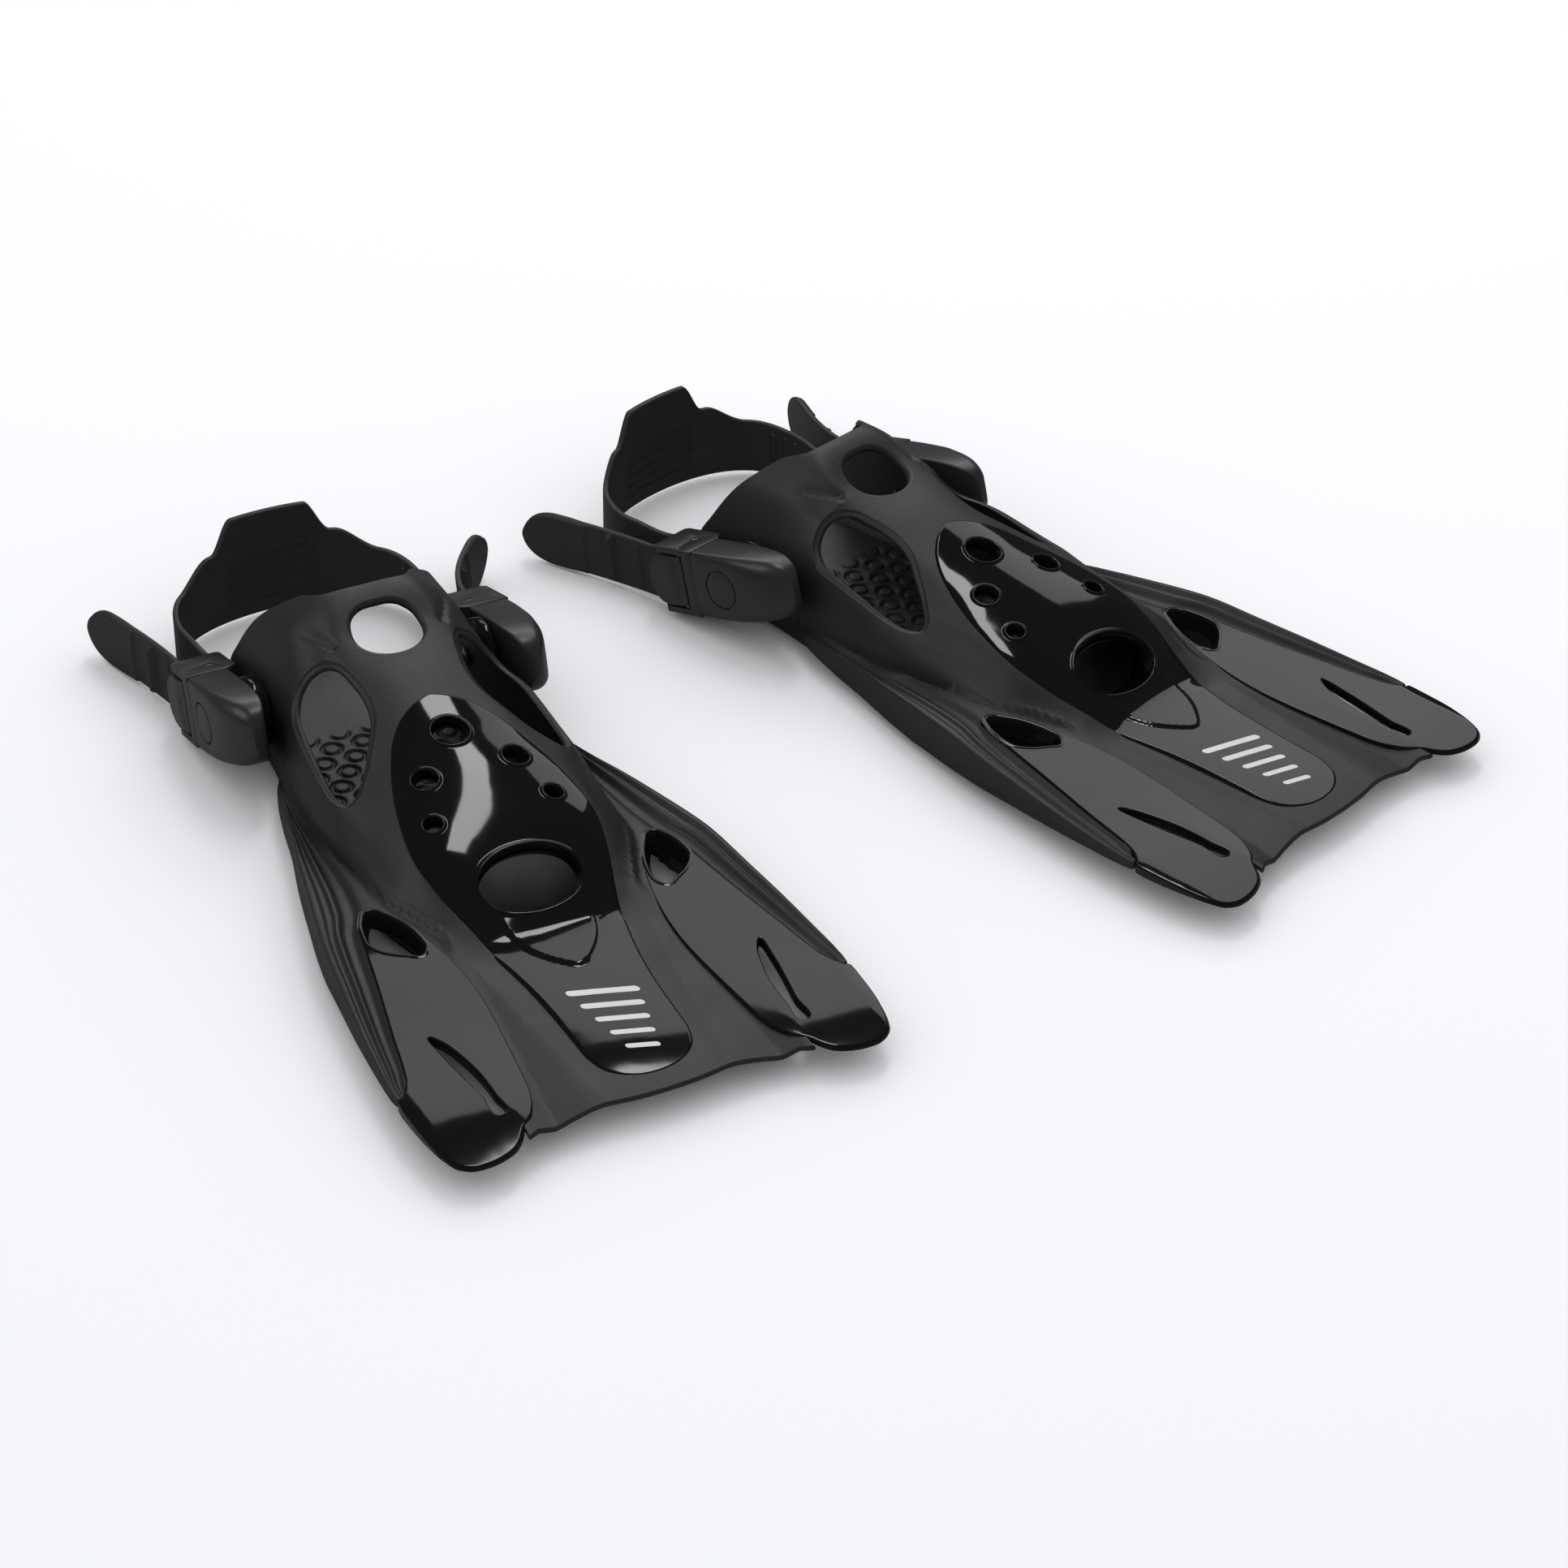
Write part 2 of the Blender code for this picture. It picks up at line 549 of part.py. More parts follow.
def heel_strap(name, home, finish):
    """Strap from one buckle round the heel to the other, with its raised heel pad."""
    start_x, start_z = buckle_to_fin(ROLLER_U, 0)
    second_x, second_z = buckle_to_fin(STRAIGHT_U, 0)
    path = [(start_x, BAND_Y, start_z), (second_x, BAND_Y, second_z)]
    path += [(x, y, STRAP_Z) for x, y in BAND_PLAN]
    full = path + [(x, -y, z) for x, y, z in reversed(path[:-1])]
    last = len(full) - 1
    stations = []
    for i, point in enumerate(full):
        here = Vector(point)
        along = (Vector(full[min(i + 1, last)]) - Vector(full[max(i - 1, 0)]))
        along.z = 0
        side = along.cross(Vector((0, 0, 1))).normalized()
        edge = min(i, last - i)
        lean = radians(BUCKLE_TILT) * (1.0 if edge < 2 else max(0.0, 1 - edge / 5))
        up = Vector((-sin(lean), 0, cos(lean)))
        across = abs(point[1])
        rise = STRAP_HALF + 2.5 + (0 if across > 36 else 26.5 * min((36 - across) / 12, 1.0))
        high = rise if edge > 5 else STRAP_HALF
        stations.append((here, STRAP_HALF, high, up, side, STRAP_THICK))
    return object_from(ribbon(stations), name, home, finish)


TAIL_TIP = {("right", "outer"): (-112, 92), ("right", "inner"): (-96, 110),
            ("left", "inner"): (-112, 90), ("left", "outer"): (-105, 101)}


def strap_tail(name, side, tip, home, finish):
    """Free end of the strap: band with two ribs and a rounded pad."""
    start_x, start_z = buckle_to_fin(ROLLER_U, 0)
    knee_x, knee_z = buckle_to_fin(STRAIGHT_U + 6, 0)
    start, knee = Vector((start_x, TAIL_Y, start_z)), Vector((knee_x, TAIL_Y, knee_z))
    end = Vector((tip[0], tip[1], 15.0))
    bend = knee + Vector((-28, 2, -1.5))
    stations = []
    for step in range(15):
        if step < 2:
            here, k = start.lerp(knee, step), 0.0
            along = knee - start
        else:
            k = (step - 1) / 13
            here = knee * (1 - k) ** 2 + bend * (2 * k * (1 - k)) + end * k * k
            along = (bend - knee) * (1 - k) + (end - bend) * k
        lean = radians(BUCKLE_TILT) * (1 - k)
        up = Vector((-sin(lean), 0, cos(lean)))
        along.z = 0
        normal = Vector((0, 0, 1)).cross(along).normalized()
        pad = max(k - 0.66, 0) / 0.34
        half = STRAP_HALF * (1 - pad ** 2.6) ** 0.5 if pad < 1 else 3.0
        half = max(half, 3.0)
        thick = 3.0 if k < 0.5 else 3.8
        stations.append((here, half, half, up, -normal, thick))
    return object_from(mirrored(ribbon(stations), side), name, home, finish)


# --- putting a fin together ---
def build_fin(fin, place, parts, cutters, finishes):
    """All pieces of one fin under an empty at its origin."""
    rubber, gloss, hard, strap_rubber, steel = finishes
    root = bpy.data.objects.new(fin + "_fin_origin", None)
    parts.objects.link(root)
    root.matrix_world = place
    made = [foot_pocket(fin + "_foot_pocket", parts, cutters, rubber),
            footbed(fin + "_footbed", parts, rubber),
            blade_frame(fin + "_blade_frame", parts, rubber),
            centre_panel(fin + "_centre_panel", parts, gloss),
            heel_strap(fin + "_heel_strap", parts, strap_rubber)]
    outer_side = -1 if fin == "right" else 1
    for label, side in (("outer", outer_side), ("inner", -outer_side)):
        pivot = empty(f"{fin}_{label}_pivot", root, (PIVOT_X, 0, PIVOT_Z), parts)
        pivot.rotation_euler = (0, -radians(BUCKLE_TILT), 0)
        roller_axis = empty(f"{fin}_{label}_roller_axis", pivot,
                            (ROLLER_U, side * ROLLER_Y, 0), parts)
        lever_axis = empty(f"{fin}_{label}_lever_axis", pivot, (LEVER_U, side * LEVER_Y, 0),
                           parts)

        def named(piece):
            return f"{fin}_{label}_{piece}"

        made.append(side_panel(named("side_panel"), side, parts, gloss))
        made.append(strap_tail(named("strap_tail"), side, TAIL_TIP[fin, label], parts,
                               strap_rubber))
        for piece in (swivel_stud(named("swivel_stud"), side, parts, hard),
                      stud_clip(named("stud_clip"), side, parts, steel),
                      buckle_housing(named("buckle_housing"), side, parts, cutters, hard),
                      pivot_cap(named("pivot_cap"), side, parts, hard),
                      buckle_frame(named("buckle_frame"), side, parts, cutters, hard),
                      lever_pin(named("lever_pin"), side, parts, steel),
                      lever_spring(named("lever_spring"), side, parts, steel)):
            adopt(piece, pivot)
        adopt(roller(named("strap_roller"), side, parts, steel), roller_axis, True)
        adopt(release_lever(named("release_lever"), side, parts, cutters, hard), lever_axis,
              True)
    for piece in made:
        adopt(piece, root)


def empty(name, parent, place, home):
    """Empty at a place in millimetres under its parent, for joints to turn about."""
    made = bpy.data.objects.new(name, None)
    home.objects.link(made)
    made.parent = parent
    made.location = Vector(place) * MM
    return made


def adopt(piece, parent, drawn_in_grandparent=False):
    """Parent a piece, with its cutters, to the empty of the frame that it is drawn in."""
    cutters = [m.object for m in piece.modifiers if m.type == "BOOLEAN"]
    for drawn in [piece] + cutters:
        drawn.parent = parent
        if drawn_in_grandparent:
            drawn.location = -parent.location


def main():
    for old in list(bpy.data.objects):
        bpy.data.objects.remove(old, do_unlink=True)
    scene = bpy.context.scene.collection
    parts = new_collection("swim_fins", scene)
    cutters = new_collection("cutters", scene)
    finishes = (material("matte_rubber", (0.035, 0.035, 0.038), 0.55),
                material("gloss_panel", (0.008, 0.008, 0.010), 0.08),
                material("buckle_plastic", (0.030, 0.030, 0.032), 0.38),
                material("strap_rubber", (0.022, 0.022, 0.024), 0.60),
                material("steel", (0.45, 0.45, 0.47), 0.30, 1.0))
    for fin, side in (("right", -1), ("left", 1)):
        turn = radians(-90 + side * TOE_OUT)
        place = (Matrix.Translation((side * HALF_STANCE * MM, (PAIR_SHIFT - side * STAGGER) * MM, 0))
                 @ Matrix.Rotation(turn, 4, "Z"))
        build_fin(fin, place, parts, cutters, finishes)


main()
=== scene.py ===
"""Looks for a pair of open-heel swim fins, built round the packed model."""

import math

import bmesh
import bpy
import numpy as np
from bpy.props import FloatProperty, FloatVectorProperty, PointerProperty
from mathutils import Matrix, Vector, geometry, kdtree


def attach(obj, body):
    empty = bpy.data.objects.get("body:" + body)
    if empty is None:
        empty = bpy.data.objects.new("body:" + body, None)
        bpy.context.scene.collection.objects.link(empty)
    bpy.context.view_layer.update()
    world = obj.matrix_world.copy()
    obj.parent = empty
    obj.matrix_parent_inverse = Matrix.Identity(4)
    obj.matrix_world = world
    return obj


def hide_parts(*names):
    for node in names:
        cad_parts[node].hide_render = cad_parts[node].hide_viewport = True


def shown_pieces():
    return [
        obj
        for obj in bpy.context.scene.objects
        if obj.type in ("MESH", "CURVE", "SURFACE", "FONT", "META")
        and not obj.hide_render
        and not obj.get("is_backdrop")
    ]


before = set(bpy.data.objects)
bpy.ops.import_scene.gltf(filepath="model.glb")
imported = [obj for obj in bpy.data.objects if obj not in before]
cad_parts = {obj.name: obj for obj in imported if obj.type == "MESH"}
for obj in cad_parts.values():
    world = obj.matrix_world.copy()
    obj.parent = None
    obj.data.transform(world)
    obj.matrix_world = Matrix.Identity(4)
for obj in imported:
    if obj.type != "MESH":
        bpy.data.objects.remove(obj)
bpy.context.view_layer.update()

bl_info = {
    "name": "Swim fin looks",
    "version": (1, 0, 0),
    "blender": (4, 5, 0),
    "location": "View3D > Sidebar > Swim fins",
    "description": "Builds rubber, gloss panels, buckles and straps of a pair of swim fins",
    "category": "Object",
}

MM = 0.001
FINS = {"right": -1, "left": 1}
HALF_STANCE, STAGGER, PAIR_SHIFT, TOE_OUT = 129.1, 8.5, 118.7, 9.38
PIVOT_X, PIVOT_Z, BUCKLE_TILT = 20.0, 32.0, 15.0
STRAP_HALF, STRAP_Z = 14.0, 16.6
BAND_Y, TAIL_Y = 59.0, 74.0
STRAP_THICK = 3.0
ROLLER_U, ROLLER_Y, STRAIGHT_U = -30.0, 66.5, -62.0
CAP_RADIUS = 9.35
SOLE_TOP, WALL_THICK = 3.0, 3.0
RING_START, RING_ROW, RING_COLUMN, RING_RADIUS = 60, 10.6, 15.8, 4.5
MOUTH_END = 8               # place in ARC of the sole line, where the wall ends
SEAM_X = 150.0              # the pocket's shell ends here and the rubber frame goes on
PROUD = 0.8                 # gloss panels stand above the rubber by this much
TAKE_UP = 9.2               # the strap's ends stop this far behind the roller to slide
TUCK = 1.5                  # rubber runs on under the panels by this much

# --- outlines of one half of the fin, in millimetres: x to the tip, y to the side ---
OUTER_EDGE = [(47, 57.6), (54, 60.2), (62, 63.9), (82, 69.5), (104, 74), (128, 80.5),
              (158, 87.5), (182, 93), (198, 96), (222, 99), (247, 102), (269, 104),
              (288, 105.3)]
RAIL_END = [(295.5, 105.4), (298.2, 104.7), (298.3, 102.6), (294, 99.9)]
PANEL_OUTER = [(289, 97), (280, 94.8), (264, 91.7), (243, 87.2), (222, 82.8), (205, 79.5),
               (190, 76)]
PANEL_APEX = [(179, 71), (178, 67), (184, 61.5)]
PANEL_INNER = [(195, 56), (215, 50.5), (235, 47.2), (252, 46.5), (270, 47.7), (287, 49.6),
               (303, 51.5), (316, 53.5), (324, 56), (331, 60), (336, 65)]
TIP = [(340.5, 67.8), (345, 72), (348, 78.5), (349.3, 86), (348.6, 93.5), (345, 99), (338, 102.2),
       (328, 104), (316, 105), (304, 105.5)]
TRAILING = [(338.5, 60), (338, 52), (336.5, 40), (336, 28), (337.5, 14), (338, 0)]
SPINE_EDGE = [(92, 0), (93.5, 5), (97, 12), (103, 20), (112, 27), (121, 31.5), (130, 35.2),
              (139, 38.3), (148, 40.7), (157, 42.6), (166, 44), (175, 44.6), (184, 44.2),
              (193, 42.6), (203, 39.8), (213, 36.6), (225, 33.3), (240, 29.8), (255, 27.2),
              (275, 25.2), (295, 24.4), (309, 23.6), (318, 20.5), (324, 14), (327, 7),
              (327.8, 0)]
WINDOW = [(50, 43), (51, 36.5), (58, 31), (70, 28), (82, 27), (92, 28.8), (104, 35.5),
          (116, 43.5), (123, 50), (123.5, 54), (118, 56.3), (104, 57), (88, 56.2), (72, 54.5),
          (58, 51.5), (52, 48)]
VENT = [(181.5, 69), (186, 72.5), (195, 75.4), (203, 75.6), (209, 71.5), (214, 64.5),
        (217, 58.6), (214, 56), (206, 55.8), (196, 58.4), (187, 63), (182, 66.5)]
SLOT = [(268, 77.3), (282, 76.8), (296, 74.8), (310, 72.4), (324.5, 70.3), (324.3, 69),
        (312, 68), (298, 68.4), (284, 70.8), (273, 74.2)]
WALL_FOOT = [(47, 56.2), (62, 60.5), (82, 64), (104, 65.5), (128, 65.5), (150, 64),
             (175, 60.6), (190, 54.8), (205, 49.2)]
TOP_VENT = [(33.5, 0), (34.2, 7.5), (38, 13.8), (45, 16.4), (53, 15.4), (58.8, 10.4), (61.5, 4)]
TOE_VENT = (201.0, 24.0, 15.2)
ROUND_HOLES = [(117, 0, 8.6), (138.5, 22, 6.0), (138.5, -22, 6.0), (163, 29, 4.4),
               (163, -29, 4.4)]
TONGUE = [(206, 20.5), (216, 20.6), (225, 19), (233, 16.6), (240, 12.7), (246.5, 7.4), (251, 2.5)]

# --- heights: cross-sections of the pocket as (y, z) from the crest to the sole ---
SECTIONS = {
    -24: [(0, 86), (12, 86), (22, 84), (33, 77), (43, 67), (50, 47), (53.5, 26), (52, 4),
          (47, 0)],
    21: [(0, 86), (12, 86), (22, 84), (32, 77.5), (42, 68), (50.5, 49), (54.3, 27), (53, 4),
         (48, 0)],
    48: [(0, 75.5), (14, 75.4), (26, 74), (36, 66.5), (44, 59.5), (52, 46), (56.3, 27), (56, 4),
         (51, 0)],
    82: [(0, 68.5), (14, 67.6), (27, 64), (41, 58.5), (50, 53.5), (57.5, 44), (61.5, 28),
         (62, 4), (56, 0)],
    114: [(0, 60.5), (14, 59.5), (28, 56.3), (42, 49.5), (51, 45), (58, 40), (64, 27), (64, 4),
          (58, 0)],
    148: [(0, 52.5), (20, 51), (34, 48.3), (41, 46), (48, 42), (55.5, 35), (62, 25), (63, 4),
          (57, 0)],
    175: [(0, 44), (22, 43.5), (35, 41.8), (44.6, 38.6), (50, 34.6), (55, 29.6), (60, 23.5),
          (60, 5), (54, 0)],
    204: [(0, 31.6), (16, 31.4), (27, 30.2), (39.5, 27.0), (43, 25.4), (46, 23.8), (49, 22),
          (48, 8), (43, 3)],
    214: [(0, 26.2), (13, 26.0), (25, 25.0), (36.4, 22.9), (40, 21.8), (43, 20.6), (46, 19.2),
          (48, 8), (43, 3)],
    226: [(0, 21.2), (12, 21.1), (24, 20.7), (32.6, 19.7), (38, 18.9), (43, 17.6), (47, 15.8),
          (49, 8), (44, 3)],
    240: [(0, 20.0), (12, 19.9), (24, 19.5), (31, 18.8), (36, 17.9), (41, 16.4), (46, 14.5),
          (48, 8), (43, 3)],
}
ARC = [0, 13, 25.3, 39, 51, 65.8, 84, 107, 115]     # length along the profile at each point
RIM_CURVE = [(0, -24), (15, -25), (33, -24.5), (46, -18), (63, -8), (74.5, 2), (81, 9.5),
             (85, 19), (88, 22)]
CREST_Z = [(200, 33), (214, 26), (228, 20.9), (245, 19.9), (270, 19), (300, 17.6), (338, 15.6),
           (353, 15)]
SIDE_Z = [(46, 12.5), (60, 15.5), (110, 20), (182, 24), (211, 22), (270, 18.6), (322, 16.8),
          (353, 15)]
RAIL_SHAPE = [(-0.2, -0.6), (0, -0.2), (0.06, 0.5), (0.2, 0.7), (0.25, -0.5), (0.38, -0.7),
              (0.43, 0.5), (0.5, 0.4), (0.62, -1.7), (0.8, -2.1), (1.0, -0.4), (1.2, 0), (9, 0)]
# the heel strap's middle seen from above, and where each free end points
BAND_PLAN = [(-50, 59.9), (-58, 61.0), (-67, 61.6), (-77, 60.2), (-87, 55.6), (-95, 48),
             (-101, 38), (-105, 27), (-107.5, 14), (-108.3, 0)]
TAIL_TIP = {("right", "outer"): (-112, 92), ("right", "inner"): (-96, 110),
            ("left", "inner"): (-112, 90), ("left", "outer"): (-105, 101)}
# the buckle's shell as rings: along, near face, far face, half height, corner radius
HOUSING = [(-18, 61.2, 82.0, 17.2, 2.2), (-6, 61.2, 82.4, 17.3, 3.2), (8, 61.2, 82.3, 17.2, 4.6),
           (19, 61.4, 81.4, 16.6, 6.5), (28, 62.2, 79.2, 15.4, 7.0), (34, 63.6, 76.4, 13.2, 6.0),
           (38, 65.2, 73.6, 10.2, 4.0), (40, 67.2, 71.4, 6.0, 2.0)]


# --- numbers ---
class Track:
    """Smooth curve through (position, value) points that never overshoots them."""

    def __init__(self, points):
        self.x, self.y = np.array(points, float).T
        step = np.diff(self.y) / np.diff(self.x)
        slope = np.concatenate([step[:1], (step[1:] + step[:-1]) / 2, step[-1:]])
        turns = step[1:] * step[:-1] <= 0
        gentle = 2 * step[1:] * step[:-1] / np.where(turns, 1, step[1:] + step[:-1])
        slope[1:-1] = np.where(turns, 0, gentle)
        self.slope = slope

    def __call__(self, at):
        at = np.clip(np.asarray(at, float), self.x[0], self.x[-1])
        i = np.clip(np.searchsorted(self.x, at, "right") - 1, 0, len(self.x) - 2)
        width = self.x[i + 1] - self.x[i]
        return hermite(self.y[i], self.y[i + 1], self.slope[i] * width,
                       self.slope[i + 1] * width, (at - self.x[i]) / width)


def hermite(a, b, leave, arrive, t):
    return ((2 * t ** 3 - 3 * t ** 2 + 1) * a + (t ** 3 - 2 * t ** 2 + t) * leave
            + (3 * t ** 2 - 2 * t ** 3) * b + (t ** 3 - t ** 2) * arrive)


def ease(low, high, value):
    """0 below low, 1 above high, smooth between."""
    t = np.clip((value - low) / (high - low), 0, 1)
    return t * t * (3 - 2 * t)


def soft_max(a, b, blend):
    """The larger of two heights, with a smooth blend where they meet."""
    return 0.5 * (a + b + np.sqrt((a - b) ** 2 + blend ** 2))


def unit(v):
    return v / np.maximum(np.linalg.norm(v, axis=-1, keepdims=True), 1e-9)


def flowing(points, pitch, closed=True, corners=()):
    """Smooth curve through points, sampled about every `pitch` millimetres."""
    p = np.array(points, float)
    count = len(p)
    before, after = np.roll(p, 1, 0), np.roll(p, -1, 0)
    if not closed:
        before[0], after[-1] = 2 * p[0] - p[1], 2 * p[-1] - p[-2]
    back = np.linalg.norm(p - before, axis=1)[:, None]
    ahead = np.linalg.norm(after - p, axis=1)[:, None]
    came, goes = (p - before) / back, (after - p) / ahead
    arrive = (came * ahead + goes * back) / (back + ahead)
    leave = arrive.copy()
    for i in corners:
        arrive[i], leave[i] = came[i], goes[i]
    made = []
    for i in range(count if closed else count - 1):
        j = (i + 1) % count
        steps = max(1, int(round(float(ahead[i, 0]) / pitch)))
        t = np.arange(steps)[:, None] / steps
        made.append(hermite(p[i], p[j], leave[i] * ahead[i], arrive[j] * ahead[i], t))
    if not closed:
        made.append(p[-1:])
    return np.concatenate(made)


def wound(loop, turn):
    """The loop, wound anticlockwise for turn 1 or clockwise for turn -1."""
    x, y = loop.T
    area = np.sum(x * np.roll(y, -1) - np.roll(x, -1) * y)
    return loop if area * turn > 0 else loop[::-1]


def left_of(loop):
    """Unit directions to the left of a loop's travel."""
    along = unit(np.roll(loop, -1, 0) - loop) + unit(loop - np.roll(loop, 1, 0))
    along = unit(along)
    return np.stack([-along[:, 1], along[:, 0]], 1)


def grown(loop, amount):
    """The loop moved outwards by an amount."""
    loop = wound(np.array(loop, float), 1)
    return loop - left_of(loop) * amount


def within(points, loop):
    """Which points lie inside a loop."""
    x, y = points.T
    inside = np.zeros(len(points), bool)
    for (x0, y0), (x1, y1) in zip(loop, np.roll(loop, -1, 0)):
        crosses = (y0 > y) != (y1 > y)
        at = x0 + (y - y0) / (y1 - y0 if y1 != y0 else 1e-9) * (x1 - x0)
        inside ^= crosses & (x < at)
    return inside


def depth_inside(x, y, loop):
    """Distance from a loop's line, positive inside it."""
    points = np.stack([np.ravel(x), np.ravel(y)], 1)
    far = np.full(len(points), 1e9)
    for a, b in zip(loop, np.roll(loop, -1, 0)):
        run = b - a
        t = np.clip(((points - a) @ run) / max(run @ run, 1e-9), 0, 1)
        far = np.minimum(far, np.linalg.norm(points - (a + t[:, None] * run), axis=1))
    return (np.where(within(points, loop), far, -far)).reshape(np.shape(x))


def both_sides(half):
    return list(half) + [(x, -y) for x, y in reversed(list(half)) if abs(y) > 0.01]


def ellipse(x, y, half_x, half_y, count):
    turn = 2 * np.pi * np.arange(count) / count
    return np.stack([x + half_x * np.cos(turn), y + half_y * np.sin(turn)], 1)


# --- the pocket's surface and the blade's heights ---
STATIONS = sorted(SECTIONS)
PROFILE_Y = [Track([(x, SECTIONS[x][i][0]) for x in STATIONS]) for i in range(9)]
PROFILE_Z = [Track([(x, SECTIONS[x][i][1]) for x in STATIONS]) for i in range(9)]


def chosen(rows, index):
    """From each column of rows, the row that index names."""
    return np.take_along_axis(rows, index[None], 0)[0]


def profile(x, s):
    """Point (y, z) of the pocket's profile at x, at length s along it from the crest."""
    x, s = np.broadcast_arrays(np.asarray(x, float), np.asarray(s, float))
    side, s = np.sign(s), np.abs(s)
    knots = np.array(ARC, float)
    i = np.clip(np.searchsorted(knots, s, "right") - 1, 0, 7)
    values = []
    for table, mirror in ((PROFILE_Y, -1), (PROFILE_Z, 1)):
        v = np.stack([track(x) for track in table])
        v = np.concatenate([mirror * v[1:2], v, v[-1:] - (v[-2:-1] - v[-1:]) * 0.5])
        k = np.concatenate([[-knots[1]], knots, [knots[-1] + 4]])
        slope = np.stack([(v[j + 1] - v[j - 1]) / (k[j + 1] - k[j - 1])
                          for j in range(1, 10)])
        width = knots[i + 1] - knots[i]
        values.append(hermite(chosen(v, i + 1), chosen(v, i + 2), chosen(slope, i) * width,
                              chosen(slope, i + 1) * width, (s - knots[i]) / width))
    return np.where(side < 0, -values[0], values[0]), values[1]


GRID_X, GRID_Y = np.arange(-30, 241, 1.0), np.arange(0, 112, 0.5)


def make_height_grid():
    rows = []
    s = np.linspace(0, ARC[7], 260)
    for x in GRID_X:
        y, z = profile(np.full_like(s, x), s)
        widest = int(np.argmax(y))
        y, z = y[:widest + 1], z[:widest + 1]
        keep = y <= y[-1] - 0.35
        y, z = y[keep], z[keep]
        beyond = np.maximum(GRID_Y - y[-1], 0)
        rows.append(np.interp(GRID_Y, y, z) - 4.5 * beyond)
    return np.array(rows)


HEIGHT_GRID = make_height_grid()


def pocket_top(x, y):
    """Height of the pocket's outer skin above (x, y)."""
    x = np.clip(x, GRID_X[0], GRID_X[-1] - 0.001) - GRID_X[0]
    y = np.clip(np.abs(y), 0, GRID_Y[-1] - 0.01) / 0.5
    i, j = x.astype(int), y.astype(int)
    u, v = x - i, y - j
    g = HEIGHT_GRID
    return ((g[i, j] * (1 - v) + g[i, j + 1] * v) * (1 - u)
            + (g[i + 1, j] * (1 - v) + g[i + 1, j + 1] * v) * u)


CREST, SIDE = Track(CREST_Z), Track(SIDE_Z)
OUTER_Y = Track(OUTER_EDGE + [(296, 105.4), (353, 103)])
RAIL_BASE = Track([(47, 54), (62, 61), (82, 64), (104, 65.5), (128, 65.5), (150, 66), (175, 69),
                   (190, 76), (205, 79.5), (222, 82.8), (243, 87.2), (264, 91.7), (280, 94.8),
                   (292, 98.2), (353, 99)])
RAIL = Track(RAIL_SHAPE)
SPINE_Y = Track([(p[0], p[1]) for p in SPINE_EDGE[11:22]] + [(340, 22)])
TONGUE_LOOP = flowing(both_sides(TONGUE + [(252, 0)]), 1.5, corners=(0, len(TONGUE) * 2))


def spine_top(x, y):
    """Top of the centre panel: the instep behind, the flat spine in front."""
    flat = CREST(x) - 0.0006 * y * y - 1.0 * (np.maximum(x - 300, 0) / 28) ** 2
    z = pocket_top(x, y) + ease(224, 236, x) * (flat - pocket_top(x, y))
    near = (x > 200) & (x < 258) & (np.abs(y) < 26)
    lift = np.zeros_like(z)
    if near.any():
        depth = depth_inside(x[near], y[near], TONGUE_LOOP)
        lift[near] = ease(-0.9, 0.9, depth) * ease(210, 222, x[near])
    return z + PROUD + 0.95 * lift


def blade_top(x, y):
    """The blade's own height, with the V channels towards the trailing edge."""
    y = np.abs(y)
    z = SIDE(x)
    grow = np.clip((x - 232) / 106, 0, 1.02)
    crease, valley = 42 - 14 * grow, 42 + 10 * grow
    fall = np.clip((y - crease) / np.maximum(valley - crease, 0.2), 0, 1)
    climb = np.clip((64 - y) / np.maximum(64 - valley, 1), 0, 1)
    z = z - 3.4 * np.minimum(grow, 1) * np.minimum(fall, climb)
    return z - 0.04 * np.maximum(y - 99, 0) ** 1.6 * ease(280, 310, x)


def rubber_top(x, y):
    """Top of the rubber round the panels: rails, channels, and the pocket's flare."""
    span = np.maximum(OUTER_Y(x) - RAIL_BASE(x), 4)
    rail = RAIL((OUTER_Y(x) - np.abs(y)) / span)
    strength = ease(66, 110, x) * (1 - 0.45 * ease(230, 292, x))
    z = blade_top(x, y) + rail * strength * 1.35
    z = z - 0.8 * (1 - ease(0, 14, np.abs(y) - SPINE_Y(x))) * ease(205, 235, x)
    blend = 2.0 + 4.5 * ease(152, 195, x)
    body = soft_max(z, pocket_top(x, y), blend)
    return body + ease(212, 236, x) * (z - body)


def frame_under(x, y):
    """Underside of the rubber frame: deep rails, thin webs."""
    low = np.interp(x, [46, 62, 100, 150, 190, 230, 296], [9.5, 8.0, 5.0, 4.0, 6.5, 9.0, 13.2])
    rail = np.interp(x, [46, 62, 150, 190, 300], [50, 58, 70, 75, 98])
    web = np.maximum(rubber_top(x, y) - 5.5 + 2.9 * ease(290, 330, x), 3.0)
    return np.where(np.abs(y) > rail - 1, low, web)


# --- meshes ---
FILLET = [(1.0, 0), (0.617, -0.076), (0.293, -0.293), (0.076, -0.617), (0, -1.0)]


def rounded(radius):
    """Top of a rim that rounds over by a radius."""
    return [(d * radius, h * radius) for d, h in FILLET]


class Edge:
    """One boundary of a plate: its loop, and the rim from the top cap to the underside."""

    def __init__(self, loop, top, wall=(), foot=0.5, scale=None, hole=False):
        self.loop = wound(np.array(loop, float), -1 if hole else 1)
        self.left = left_of(self.loop)
        self.top, self.wall, self.foot = top, list(wall), foot
        self.scale = np.ones(len(self.loop)) if scale is None else scale(self.loop)

    def at(self, distance, scaled=True):
        k = self.scale[:, None] if scaled else 1.0
        return self.loop + self.left * distance * k


